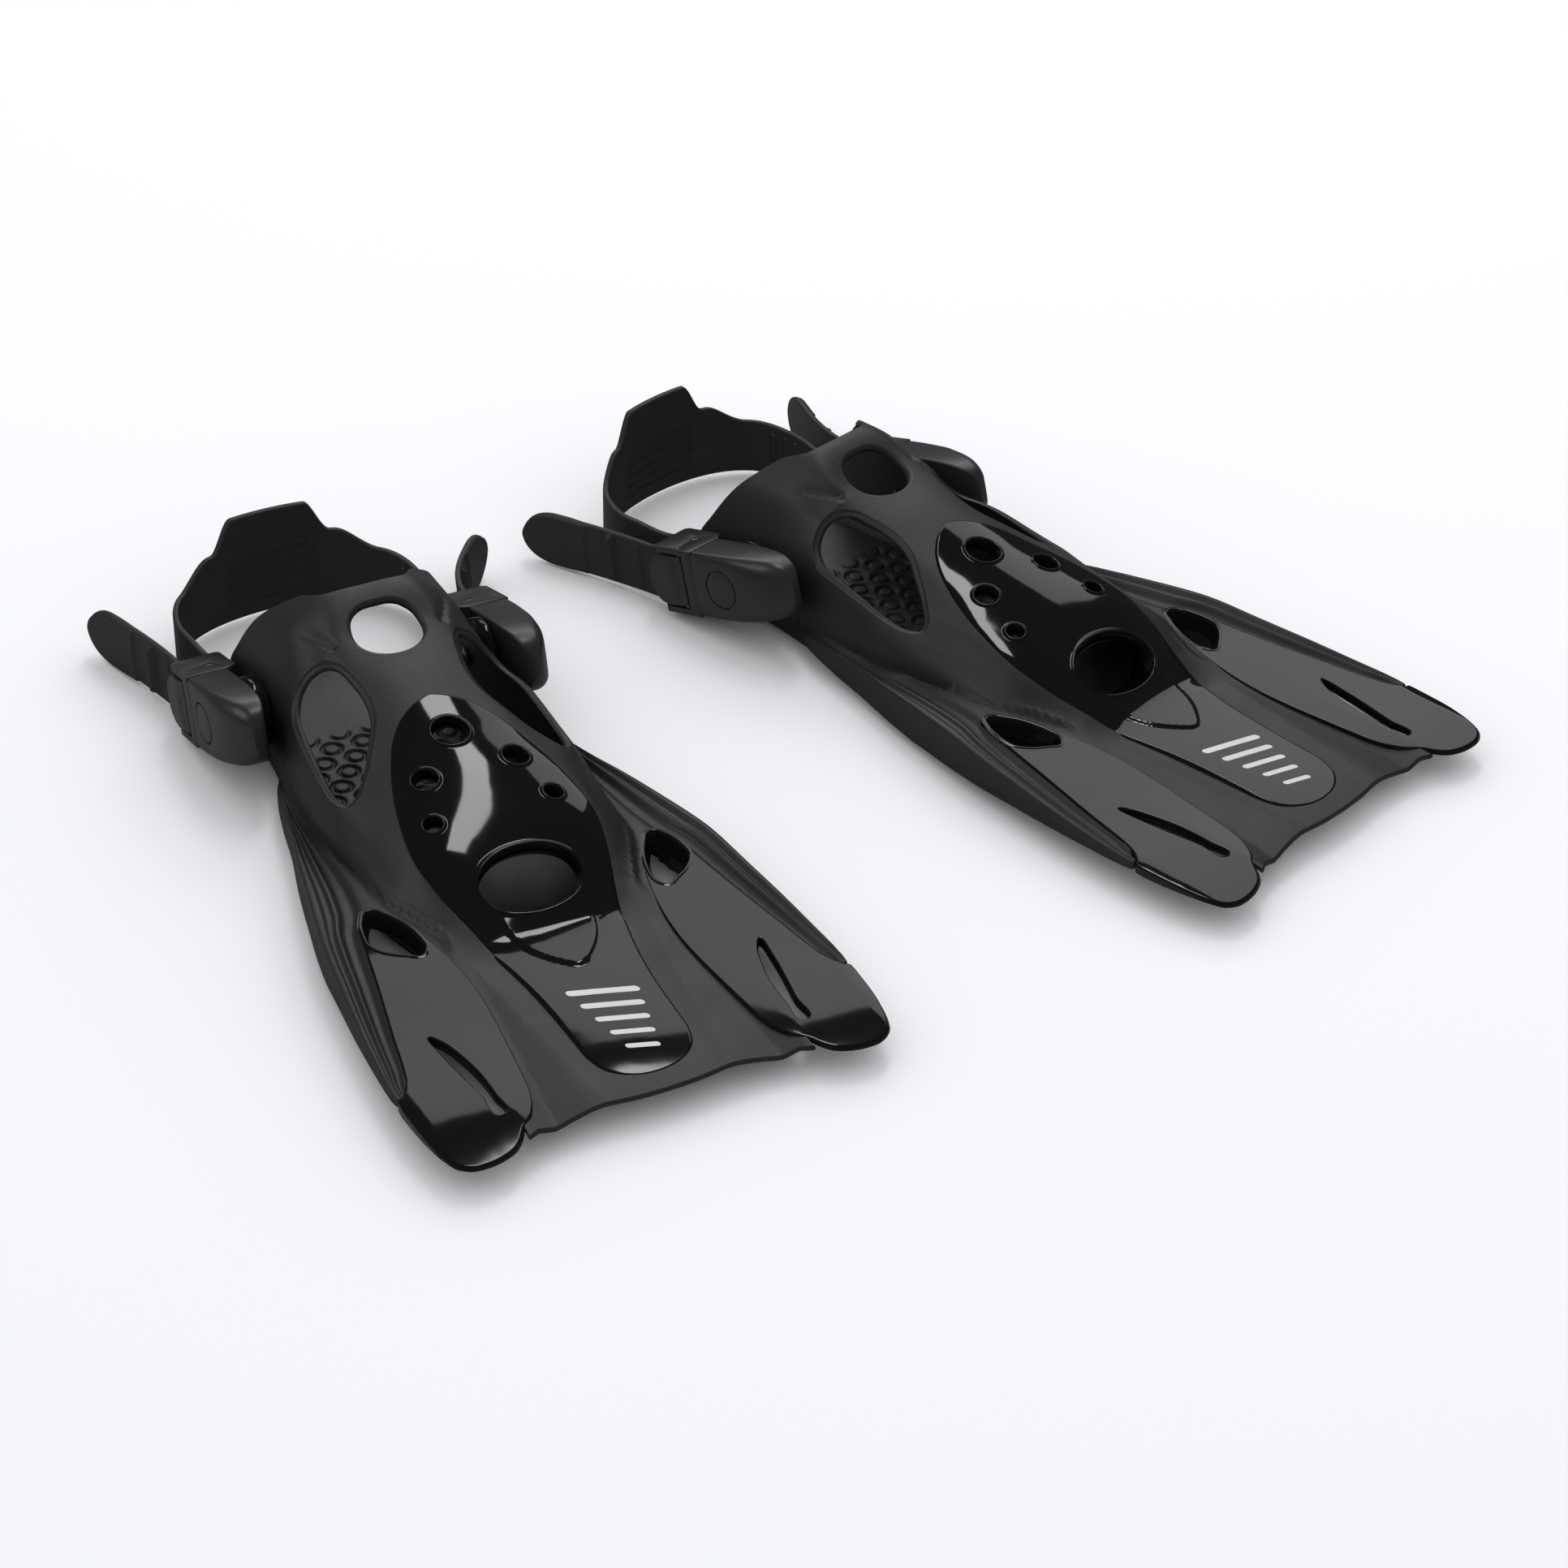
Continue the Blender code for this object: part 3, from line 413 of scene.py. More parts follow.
def plate(edges, surface, under, pitch, fine=None):
    """Closed solid over a domain: a top cap on `surface`, an underside on `under`."""
    first = [edge.at(edge.top[0][0]) for edge in edges]
    everything = np.concatenate([edge.loop for edge in edges])
    low, high = everything.min(0), everything.max(0)

    def lattice(step):
        ys = np.arange(low[1], high[1], step * 0.866)
        xs = np.arange(low[0], high[0], step)
        gx, gy = np.meshgrid(xs, ys)
        gx = gx + (np.arange(len(ys)) % 2)[:, None] * step * 0.5
        return np.stack([gx.ravel(), gy.ravel()], 1), np.full(gx.size, step)

    points, steps = lattice(pitch)
    if fine:
        where, detail = fine
        if np.ndim(detail):
            extra, extra_steps = detail, np.full(len(detail), 0.9)
        else:
            extra, extra_steps = lattice(detail)
        keep, add = ~where(points), where(extra)
        points = np.concatenate([points[keep], extra[add]])
        steps = np.concatenate([steps[keep], extra_steps[add]])
    inside = within(points, first[0])
    for ring in first[1:]:
        inside &= ~within(points, ring)
    points, steps = points[inside], steps[inside]
    rings = np.concatenate(first)
    tree = kdtree.KDTree(len(rings))
    for i, (x, y) in enumerate(rings):
        tree.insert((x, y, 0), i)
    tree.balance()
    clear = [tree.find((x, y, 0))[2] > 0.55 * s for (x, y), s in zip(points, steps)]
    points = points[np.array(clear, bool)]

    flat = np.concatenate([rings, points])
    constraints, base = [], 0
    for ring in first:
        n = len(ring)
        constraints += [(base + i, base + (i + 1) % n) for i in range(n)]
        base += n
    out = geometry.delaunay_2d_cdt([Vector(p) for p in flat], constraints, [], 0, 1e-5, True)
    back = [ids[0] if ids else -1 for ids in out[3]]
    tris = np.array([[back[i] for i in face] for face in out[2]
                     if all(back[i] >= 0 for i in face)])
    centre = flat[tris].mean(1)
    keep = within(centre, first[0])
    for ring in first[1:]:
        keep &= ~within(centre, ring)
    tris = tris[keep]
    a, b, c = flat[tris[:, 0]], flat[tris[:, 1]], flat[tris[:, 2]]
    turn = (b[:, 0] - a[:, 0]) * (c[:, 1] - a[:, 1]) - (b[:, 1] - a[:, 1]) * (c[:, 0] - a[:, 0])
    tris = tris[np.abs(turn) > 1e-6]
    turn = turn[np.abs(turn) > 1e-6]
    tris[turn < 0] = tris[turn < 0][:, ::-1]

    top_points, normals = surface(flat)
    verts = [top_points, under(flat)]
    soft = [normals, np.zeros_like(normals)]
    count = len(flat)
    faces = [tuple(t) for t in tris] + [tuple(t[::-1] + count) for t in tris]
    total, base = 2 * count, 0
    for edge in edges:
        n = len(edge.loop)
        rows = [np.arange(base, base + n)]
        rim = []
        for d, h in edge.top[1:]:
            place, up = surface(edge.at(d))
            rim.append(place + up * (h * edge.scale[:, None]))
        for d, h in edge.wall:
            place, up = surface(edge.at(d, False))
            rim.append(place + up * h)
        for d, h in ((0.0, edge.foot), (edge.foot, 0.0)):
            rim.append(under(edge.at(d)) + np.array([0, 0, h]) * edge.scale[:, None])
        for ring in rim:
            verts.append(ring)
            rows.append(np.arange(total, total + n))
            soft.append(np.zeros_like(ring))
            total += n
        rows.append(np.arange(base, base + n) + count)
        for upper, lower in zip(rows, rows[1:]):
            ahead_u, ahead_l = np.roll(upper, -1), np.roll(lower, -1)
            faces += list(zip(lower, ahead_l, ahead_u, upper))
        base += n
    return np.concatenate(verts), faces, np.concatenate(soft)


def above(height):
    """Surface function of a height over (x, y), with its normals."""
    def surface(flat):
        x, y = flat.T
        step = 0.8
        z = height(x, y)
        dx = (height(x + step, y) - height(x - step, y)) / (2 * step)
        dy = (height(x, y + step) - height(x, y - step)) / (2 * step)
        return np.stack([x, y, z], 1), unit(np.stack([-dx, -dy, np.ones_like(z)], 1))
    return surface


def under_plane(height):
    def under(flat):
        x, y = flat.T
        return np.stack([x, y, height(x, y)], 1)
    return under


def mesh_from(name, verts, faces, soft=None, side=1):
    """Mesh in metres from millimetres, mirrored to the right side for side -1."""
    verts = np.array(verts, float) * (1, side, 1) * MM
    if side < 0:
        faces = [tuple(reversed(f)) for f in faces]
    mesh = bpy.data.meshes.new(name)
    mesh.from_pydata(verts.tolist(), [], [tuple(int(i) for i in f) for f in faces])
    mesh.update()
    mesh.shade_smooth()
    if soft is not None:
        mesh.normals_split_custom_set_from_vertices((soft * (1, side, 1)).tolist())
    return mesh


def fin_place(fin):
    """Where a fin's own frame stands, in metres."""
    side = FINS[fin]
    shift = Matrix.Translation((side * HALF_STANCE * MM, (PAIR_SHIFT - side * STAGGER) * MM, 0))
    return shift @ Matrix.Rotation(math.radians(-90 + side * TOE_OUT), 4, "Z")


def buckle_place(fin):
    """Where the tilted frame of a fin's buckles stands."""
    return (fin_place(fin) @ Matrix.Translation((PIVOT_X * MM, 0, PIVOT_Z * MM))
            @ Matrix.Rotation(-math.radians(BUCKLE_TILT), 4, "Y"))


def put(name, mesh, place, body, finish, nodes=()):
    """A piece at its place, riding on a body and standing for CAD nodes."""
    piece = bpy.data.objects.new(name, mesh)
    bpy.context.scene.collection.objects.link(piece)
    piece.matrix_world = place
    if finish.name not in [m.name for m in mesh.materials if m]:
        mesh.materials.append(finish)
    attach(piece, body)
    if nodes:
        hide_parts(*nodes)
    return piece


def body_names(fin, label):
    """The side a buckle stands on, 1 for left, and the start of its names."""
    side = FINS[fin] * (1 if label == "outer" else -1)
    return side, f"{fin}_{label}"


EVERY_SIDE = [(fin, label) for fin in FINS for label in ("outer", "inner")]


# --- the rubber ---
def crease_depth(x, y):
    """Teardrop creases beside the top vent."""
    a, b = np.array([16.0, 41.0]), np.array([49.0, 26.4])
    run = b - a
    t = ((x - a[0]) * run[0] + (np.abs(y) - a[1]) * run[1]) / (run @ run)
    across = ((x - a[0]) * run[1] - (np.abs(y) - a[1]) * run[0]) / np.linalg.norm(run)
    strength = np.clip(t, 0, 1) ** 1.3 * (1 - ease(0.95, 1.03, t))
    return strength * (2.2 * np.exp(-(across / 1.9) ** 2) - 1.1 * np.exp(-((across + 4) / 3) ** 2))


def pocket_surface(flat):
    """The pocket's skin over (x, length along the profile), with normals."""
    def place(x, s):
        y, z = profile(x, s)
        z = z - crease_depth(x, y) * ease(30, 45, z)
        return np.stack([x, y, z], 1)
    x, s = flat.T
    step = 0.7
    dx = place(x + step, s) - place(x - step, s)
    ds = place(x, s + step) - place(x, s - step)
    return place(x, s), unit(np.cross(dx, ds))


def on_profile(points):
    """Length along the profile of points given as (x, y) on the pocket's top."""
    points = np.array(points, float)
    lengths = np.linspace(0, ARC[6], 240)
    made = []
    for x, y in points:
        ys, _ = profile(np.full_like(lengths, x), lengths)
        widest = int(np.argmax(ys))
        s = np.interp(abs(y), ys[:widest + 1], lengths[:widest + 1])
        made.append((x, s if y >= 0 else -s))
    return np.array(made)


def rear_rim():
    """The slanted rear edge of the pocket, from the right sole line to the left one."""
    rim = Track(RIM_CURVE)
    s = np.linspace(-ARC[MOUTH_END], ARC[MOUTH_END], 150)
    x = np.full_like(s, -10.0)
    for _ in range(12):
        _, z = profile(x, s)
        x = 0.5 * x + 0.5 * rim(z)
    return np.stack([x, s], 1)


def pocket_mesh():
    rear = rear_rim()
    tucked = grown(flowing(both_sides(SPINE_EDGE), 2.0), -TUCK)
    end, wall = SEAM_X + 2, ARC[MOUTH_END]
    opening = tucked[tucked[:, 0] < end]
    opening = on_profile(opening[np.argsort(opening[:, 1])])
    edge_s = on_profile([(end, 39.5)])[0][1]
    right_end = [(end, s) for s in np.linspace(-wall, -edge_s, 34)]
    left_end = [(end, s) for s in np.linspace(edge_s, wall, 34)]
    left_sole = [(x, wall) for x in np.arange(end - 2, rear[-1][0] + 1, -2.0)]
    right_sole = [(x, -wall) for x in np.arange(rear[0][0] + 2, end - 1, 2.0)]
    loop = np.array(right_sole + right_end + list(opening) + left_end + left_sole
                    + [tuple(p) for p in rear[::-1]])

    def rounding(points):
        return np.maximum(1 - ease(26, 40, points[:, 0]), 0.12)

    edges = [Edge(loop, rounded(1.5), foot=0.12, scale=rounding)]
    bevel = [(3.7, 0), (3.3, 0.02), (3.0, -0.12), (2.75, -0.55), (1.4, -0.95), (0.8, -1.1),
             (0.35, -1.5), (0.05, -2.2), (0, -2.7)]
    for side in (1, -1):
        window = flowing(on_profile([(x, side * y) for x, y in WINDOW]), 1.4)
        edges.append(Edge(window, bevel, foot=0.12, hole=True))
    vent = flowing(on_profile(both_sides(TOP_VENT)), 1.4)
    lip = [(4.0, 0), (2.6, 0.28), (1.3, 0.1), (0.5, -0.5), (0.05, -1.3)]
    edges.append(Edge(vent, lip, foot=0.12, hole=True))

    def under(flat):
        place, up = pocket_surface(flat)
        return place - up * WALL_THICK

    skin = plate(edges, pocket_surface, under, 2.4)
    half = [(-39, 0), (-37, 20), (-30, 33), (-18, 44), (0, 47.5), (21, 49), (48, 52), (82, 57),
            (114, 59), (148, 58), (175, 55), (200, 45), (204, 0)]
    sole = [Edge(flowing(both_sides(half), 4), rounded(0.4), foot=0.8)]
    return join([skin, plate(sole, above(lambda x, y: SOLE_TOP + 0 * x),
                             under_plane(lambda x, y: 0 * x), 9.0)])


def join(parts):
    verts, faces, soft, total = [], [], [], 0
    for v, f, n in parts:
        verts.append(v)
        soft.append(np.zeros_like(v) if n is None else n)
        faces += [tuple(int(i) + total for i in face) for face in f]
        total += len(v)
    return np.concatenate(verts), faces, np.concatenate(soft)


def frame_mesh():
    """Rails, webs, channels and trailing strip in one rubber moulding."""
    inner = flowing(PANEL_APEX[1:] + PANEL_INNER, 1.6, closed=False)
    outer = flowing(PANEL_OUTER + PANEL_APEX[:2], 1.6, closed=False)
    inner = inner + left_of_open(inner) * TUCK
    outer = outer + left_of_open(outer) * TUCK
    rail = flowing(OUTER_EDGE + RAIL_END, 1.6, closed=False)
    foot = flowing(WALL_FOOT[:6], 2.0, closed=False) - (0, 1.6)
    spine = flowing(SPINE_EDGE[8:-1] + [(327.8, 0), (327, -7)], 1.8, closed=False)
    spine = spine[(spine[:, 1] > 0.05) & (spine[:, 0] > SEAM_X)]
    spine = spine - left_of_open(spine) * TUCK
    trailing = flowing(TRAILING, 1.8, closed=False)
    seam = [(SEAM_X, y) for y in np.arange(60.5, spine[0][1] + 1, -1.8)]
    half = [tuple(p) for line in (trailing[::-1], [(341.5, 65.6)], inner[::-1][1:],
                                  outer[::-1][2:-1], rail[::-1], foot, seam, spine)
            for p in line]
    loop = np.array(half + [(x, -y) for x, y in reversed(half) if abs(y) > 0.05])
    loop = np.array([p for i, p in enumerate(loop)
                     if np.linalg.norm(p - loop[i - 1]) > 0.25])

    def rounding(points):
        x, y = points[:, 0], np.abs(points[:, 1])
        free = (y > OUTER_Y(x) - 3) | ((x > 334) & (y < 67))
        return np.where(free, 1.0, 0.1)

    def fine(points):
        x, y = points[:, 0], np.abs(points[:, 1])
        span = np.maximum(OUTER_Y(x) - RAIL_BASE(x), 4)
        return (OUTER_Y(x) - y < 1.22 * span) & (x < 300)

    rows = []
    for x in np.arange(48, 299, 1.9):
        span = max(float(OUTER_Y(x) - RAIL_BASE(x)), 4)
        for k in np.arange(0.045, 1.2, 0.052):
            rows += [(x, float(OUTER_Y(x)) - k * span), (x, k * span - float(OUTER_Y(x)))]

    def top(x, y):
        hidden = (x < SEAM_X + 0.5) & (np.abs(y) < Track(WALL_FOOT)(x) - 0.9)
        return rubber_top(x, y) - np.where(hidden, 0.5, 0)

    edges = [Edge(loop, rounded(1.3), foot=0.9, scale=rounding)]
    return plate(edges, above(top), under_plane(frame_under), 2.3, (fine, np.array(rows)))


def left_of_open(line):
    along = unit(np.gradient(line, axis=0))
    return np.stack([-along[:, 1], along[:, 0]], 1)


# --- the gloss panels ---
def centre_mesh():
    rim = [(1.9, 0), (1.3, -0.1), (0.75, -0.4), (0.3, -0.9), (0.05, -1.6), (0, -2.4)]
    edges = [Edge(flowing(both_sides(SPINE_EDGE), 1.5), rim)]

    def lip(size):
        return [(2.2 * size, 0), (1.5 * size, 0.05), (1.05 * size, 0.45), (0.7 * size, 0.75),
                (0.3 * size, 0.8), (0, 0.5), (-0.15, -0.2)]

    for x, y, r in ROUND_HOLES:
        edges.append(Edge(ellipse(x, y, r, r, int(16 + 5 * r)), lip(1.0),
                          [(-0.2, -2.0), (-0.3, -6.5), (-0.1, -5.0)], hole=True))
    x, half_y, half_x = TOE_VENT
    edges.append(Edge(ellipse(x, 0, half_x, half_y, 96), lip(1.25),
                      [(-0.3, -2.0), (-0.5, -7.5), (-0.2, -5.0)], hole=True))

    def fine(points):
        x, y = points[:, 0], np.abs(points[:, 1])
        return (x > 202) & (x < 258) & (y < 36)

    def under(x, y):
        return spine_top(x, y) - 5.4

    return plate(edges, above(spine_top), under_plane(under), 2.1, (fine, 1.2))


def panel_top(x, y):
    level = SIDE(x) - 0.04 * np.maximum(np.abs(y) - 99, 0) ** 1.6 * ease(280, 310, x)
    level = level - 1.5 * (np.maximum(x - 318, 0) / 31) ** 2
    return level + 0.3 * (blade_top(x, y) - level) + PROUD * 0.8


def side_mesh(side):
    inner = flowing(PANEL_APEX + PANEL_INNER + TIP, 1.6, closed=False)
    end = [(300.3, 105.3), (299.3, 104.5), (298.7, 102.4), (294.2, 99.3)]
    outer = flowing(PANEL_OUTER + [(179, 71), (178.4, 69)], 1.6, closed=False)
    loop = np.concatenate([inner, end, outer[:-1]])

    def rounding(points):
        return 0.75 + 0.9 * ease(318, 345, points[:, 0])

    edges = [Edge(loop, rounded(1.2), foot=0.9, scale=rounding)]
    deep = [(2.6, 0), (1.7, 0.3), (1.0, 0.4), (0.4, 0.15), (0, -0.6), (-0.35, -1.6)]
    funnel = [(-1.0, -3.6), (-1.8, -6.0), (-2.3, -7.4), (-1.9, -8.2), (-0.9, -8.0),
              (-0.3, -5.2)]
    edges.append(Edge(flowing(VENT, 1.3), deep, funnel, hole=True))
    slit = [(1.0, 0), (0.6, -0.08), (0.25, -0.4), (0, -1.0)]
    edges.append(Edge(flowing(SLOT, 1.5), slit, [(-0.25, -3.2)], foot=0.3, hole=True))

    def under(x, y):
        return panel_top(x, y) - 4.8 + 1.9 * ease(300, 342, x)

    verts, faces, soft = plate(edges, above(panel_top), under_plane(under), 2.2)
    return mesh_from("side_panel", verts, faces, soft, side)


def footbed_top(x, y):
    """Sole with staggered rings sunk into its forward part."""
    row = np.round((x - RING_START) / RING_ROW)
    shift = np.where(row % 2 == 0, 0, RING_COLUMN / 2)
    column = np.round((y - shift) / RING_COLUMN)
    away = np.sqrt((x - RING_START - row * RING_ROW) ** 2
                   + (y - shift - column * RING_COLUMN) ** 2)
    groove = np.exp(-((away - RING_RADIUS) / 0.8) ** 2)
    where = ease(16, 20, x) * (1 - ease(136, 140, x)) * (1 - ease(44, 47, np.abs(y)))
    return 5.7 + 0.5 * ease(28, 46, np.abs(y)) - 1.6 * groove * where


def footbed_mesh():
    half = [(-37, 0), (-36, 16), (-31, 28), (-21, 37), (-8, 41.5), (10, 43.5), (48, 47.5),
            (82, 51.5), (114, 53.5), (148, 52), (172, 47), (186, 34), (190, 0)]
    edges = [Edge(flowing(both_sides(half), 3), rounded(0.8), foot=0.3)]

    def fine(points):
        return (points[:, 0] > 14) & (points[:, 0] < 142)

    return plate(edges, above(footbed_top), under_plane(lambda x, y: 3.2 + 0 * x), 5.0,
                 (fine, 1.05))


# --- straps ---
def swept(path, up, normal, low, high, thick, relief_in=None, relief_out=None, across=22,
          corner=1.0):
    """Band with rounded edges along a path; reliefs raise its inner and outer face."""
    run = np.concatenate([[0], np.cumsum(np.linalg.norm(np.diff(path, axis=0), axis=1))])
    run = (run - run[-1] / 2)[:, None]
    low_c, high_c = low - corner, high - corner
    v_in = -low_c[:, None] + (low_c + high_c)[:, None] * np.linspace(0, 1, across)[None]
    half, flat = thick[:, None] / 2, thick / 2 - corner
    raise_in = relief_in(run, v_in) if relief_in else 0 * v_in
    raise_out = relief_out(run, v_in) if relief_out else 0 * v_in
    bends = [(30, -1), (60, -1), (90, -1), (60, 1), (30, 1)]
    bends = [(math.radians(angle), face) for angle, face in bends]
    top_v = [high_c + corner * math.sin(angle) for angle, _ in bends]
    top_n = [face * (flat + corner * math.cos(angle)) for angle, face in bends]
    bottom_v = [-low_c - corner * math.sin(angle) for angle, _ in bends]
    bottom_n = [-face * (flat + corner * math.cos(angle)) for angle, face in bends]
    v = np.concatenate([v_in, np.stack(top_v, 1), v_in[:, ::-1], np.stack(bottom_v, 1)], 1)
    n = np.concatenate([-(half + raise_in), np.stack(top_n, 1), (half + raise_out)[:, ::-1],
                        np.stack(bottom_n, 1)], 1)
    count, size = v.shape
    verts = (path[:, None] + up[:, None] * v[..., None] + normal[:, None] * n[..., None])
    faces = tube(count, size)
    faces.append(tuple(range(size))[::-1])
    faces.append(tuple((count - 1) * size + j for j in range(size)))
    return verts.reshape(-1, 3), faces


def tube(count, size):
    """Faces between rings of the same size, without the ends."""
    return [(i * size + j, i * size + k, (i + 1) * size + k, (i + 1) * size + j)
            for i in range(count - 1) for j in range(size) for k in ((j + 1) % size,)]


def strap_axes(path, lean):
    """Outward normal and upward direction of a strap along its path, leaning by angles."""
    along = np.gradient(path, axis=0)
    along[:, 2] = 0
    along = unit(along)
    normal = np.stack([along[:, 1], -along[:, 0], 0 * along[:, 0]], 1)
    return normal, np.stack([-np.sin(lean), 0 * lean, np.cos(lean)], 1)


def outward(verts, faces):
    """Faces turned to point out of a closed body."""
    bm = bmesh.new()
    made = [bm.verts.new(v) for v in verts]
    for face in faces:
        bm.faces.new([made[i] for i in face])
    bmesh.ops.recalc_face_normals(bm, faces=bm.faces)
    bm.verts.index_update()
    turned = [tuple(v.index for v in face.verts) for face in bm.faces]
    bm.free()
    return turned


def buckle_to_fin(u, v=0.0):
    tilt = math.radians(BUCKLE_TILT)
    return (PIVOT_X + u * math.cos(tilt) - v * math.sin(tilt),
            PIVOT_Z + u * math.sin(tilt) + v * math.cos(tilt))


def heel_rib(u, v):
    """Ribs of the heel pad, and grip teeth on either side of it, on the inner face."""
    height = np.zeros(np.broadcast(u, v).shape)
    for row in range(6):
        level = -6.5 + 5.6 * row
        reach = 25.5 - 0.9 * max(row - 2, 0) ** 1.6
        along = 1 - ease(reach - 1.5, reach + 0.5, np.abs(u))
        height += 1.15 * along * np.exp(-((v - level) / 1.05) ** 4)
    ends = np.abs(u)
    for place in (72, 80, 88):
        tooth = np.exp(-((ends - place) / 1.3) ** 4)
        height += 1.5 * tooth * (1 - ease(9.5, 11, np.abs(v)))
    dimple = np.sqrt((ends - 52) ** 2 + (v - 2) ** 2)
    return height + 0.45 * np.exp(-((dimple - 3.6) / 0.6) ** 2)


def heel_mesh():
    start_x, start_z = buckle_to_fin(ROLLER_U - TAKE_UP)
    second_x, second_z = buckle_to_fin(STRAIGHT_U)
    points = [(start_x, BAND_Y, start_z), (second_x, BAND_Y, second_z)]
    points += [(x, y, STRAP_Z) for x, y in BAND_PLAN[1:]]
    points += [(x, -y, z) for x, y, z in reversed(points[:-1])]
    path = flowing(points, 0.9, closed=False)
    normal, up = strap_axes(path, np.radians(BUCKLE_TILT) * ease(-72, -38, path[:, 0]))
    across = np.abs(path[:, 1])
    behind = 1 - ease(-92, -66, path[:, 0])
    shoulder = 10.0 * (1 - ease(33, 52, across)) + 16.5 * (1 - ease(19, 31, across))
    high = STRAP_HALF + behind * (2.0 + shoulder)
    low = np.full(len(path), STRAP_HALF)
    thick = np.full(len(path), STRAP_THICK) + 0.5 * (1 - ease(20, 45, across)) * behind
    verts, faces = swept(path, up, normal, low, high, thick, heel_rib, across=76)
    return verts, outward(verts, faces), None


def tail_mesh(tip, side):
    start_x, start_z = buckle_to_fin(ROLLER_U - TAKE_UP)
    knee_x, knee_z = buckle_to_fin(STRAIGHT_U + 6)
    start, knee = np.array([start_x, TAIL_Y, start_z]), np.array([knee_x, TAIL_Y, knee_z])
    end, bend = np.array([tip[0], tip[1], 15.0]), knee + (-28, 2, -1.5)
    t = np.sin(np.linspace(0, np.pi / 2, 150))[:, None]
    curve = knee * (1 - t) ** 2 + bend * (2 * t * (1 - t)) + end * t * t
    path = np.concatenate([start + (knee - start) * np.linspace(0, 1, 16)[:-1, None], curve])
    k = np.concatenate([np.zeros(15), t[:, 0]])
    normal, up = strap_axes(path, np.radians(BUCKLE_TILT) * (1 - k))
    walked = np.cumsum(np.linalg.norm(np.diff(path, axis=0, prepend=path[:1]), axis=1))
    left = walked[-1] - walked
    pad = np.clip(1 - left / 21, 0, 1)
    half = np.maximum((STRAP_HALF + 0.4 * ease(60, 70, walked)) * np.sqrt(1 - pad ** 2.3), 1.1)
    thick = np.full(len(path), STRAP_THICK)

    def relief(u, v):
        at = walked[:, None] - 26 + TAKE_UP + 0 * v
        step = ease(0, 1.0, at - (42 - 1.8 * (v / 14) ** 2))
        rib = np.exp(-((at - 26.0) / 1.8) ** 8) * (1 - ease(11.4, 12.4, np.abs(v)))
        low = np.exp(-((at - 8.5) / 1.5) ** 6) * (1 - ease(10.8, 11.8, np.abs(v)))
        return 1.25 * step + 3.0 * rib + 1.4 * low

    verts, faces = swept(path, up, normal, half, half, thick, None, relief, across=26)
    verts = verts * (1, side, 1)
    return verts, outward(verts, faces), None


def turn_mesh(side):
    """The strap's half turn round the roller, in the buckle's frame."""
    angles = np.radians(np.linspace(-90, 90, 25))
    centre_r = (TAIL_Y - BAND_Y) / 2
    path = np.stack([ROLLER_U + centre_r * np.cos(angles),
                     ROLLER_Y + centre_r * np.sin(angles), 0 * angles], 1)
    normal = np.stack([np.cos(angles), np.sin(angles), 0 * angles], 1)
    up = np.tile([0.0, 0.0, 1.0], (len(path), 1))
    half = np.full(len(path), STRAP_HALF - 0.1)
    verts, faces = swept(path, up, normal, half, half, np.full(len(path), STRAP_THICK),
                         across=6)
    verts = verts * (1, side, 1)
    return verts, outward(verts, faces), None


# --- buckles, drawn in the buckle's frame ---
def housing_mesh():
    """Smooth shell with a rounded nose and a nearly flat outer face."""
    rows = np.array(HOUSING, float)
    t = np.linspace(0, 1, 40) ** 0.8
    at = rows[0, 0] + (rows[-1, 0] - rows[0, 0]) * np.sin(t * np.pi / 2)
    tracks = [Track(rows[:, [0, i]]) for i in range(1, 5)]
    rings = []
    for u in at:
        low, high, half, corner = (float(track(u)) for track in tracks)
        ring = []
        for cy, cv, radius, start in ((high - corner, half - corner, corner, 0),
                                      (low + 1.2, half - 1.2, 1.2, 90),
                                      (low + 1.2, -half + 1.2, 1.2, 180),
                                      (high - corner, corner - half, corner, 270)):
            for step in range(7):
                angle = math.radians(start + 15 * step)
                ring.append((u, cy + radius * math.cos(angle), cv + radius * math.sin(angle)))
        for k in range(1, 6):
            v = -(half - corner) + 2 * (half - corner) * k / 6
            ring.append((u, high + 0.1 * (1 - (2 * k / 6 - 1) ** 2), v))
        rings.append(ring)
    middle = np.mean(rings[0], axis=0)
    rear = [tuple(middle + (np.array(p) - middle) * 0.985 + (-0.3, 0, 0)) for p in rings[0]]
    rings.insert(0, rear)
    count = len(rings[0])
    verts = np.concatenate([np.array(r) for r in rings])
    faces = tube(len(rings), count)
    faces.append(tuple(range(count)))
    last = (len(rings) - 1) * count
    faces.append(tuple(last + j for j in range(count))[::-1])
    return verts, outward(verts, faces), None


def turned(outline, steps):
    """Closed body turned about the swivel's axis from (radius, y) points."""
    verts, faces, ring_of = [], [], []
    for r, y in outline:
        if r < 1e-6:
            ring_of.append([len(verts)])
            verts.append((0.0, y, 0.0))
            continue
        ring_of.append(list(range(len(verts), len(verts) + steps)))
        for k in range(steps):
            a = 2 * math.pi * k / steps
            verts.append((r * math.cos(a), y, r * math.sin(a)))
    for a, b in zip(ring_of, ring_of[1:]):
        for k in range(steps):
            n = (k + 1) % steps
            if len(a) == 1:
                faces.append((a[0], b[k], b[n]))
            elif len(b) == 1:
                faces.append((a[k], b[0], a[n]))
            else:
                faces.append((a[k], b[k], b[n], a[n]))
    return np.array(verts), outward(verts, faces), None


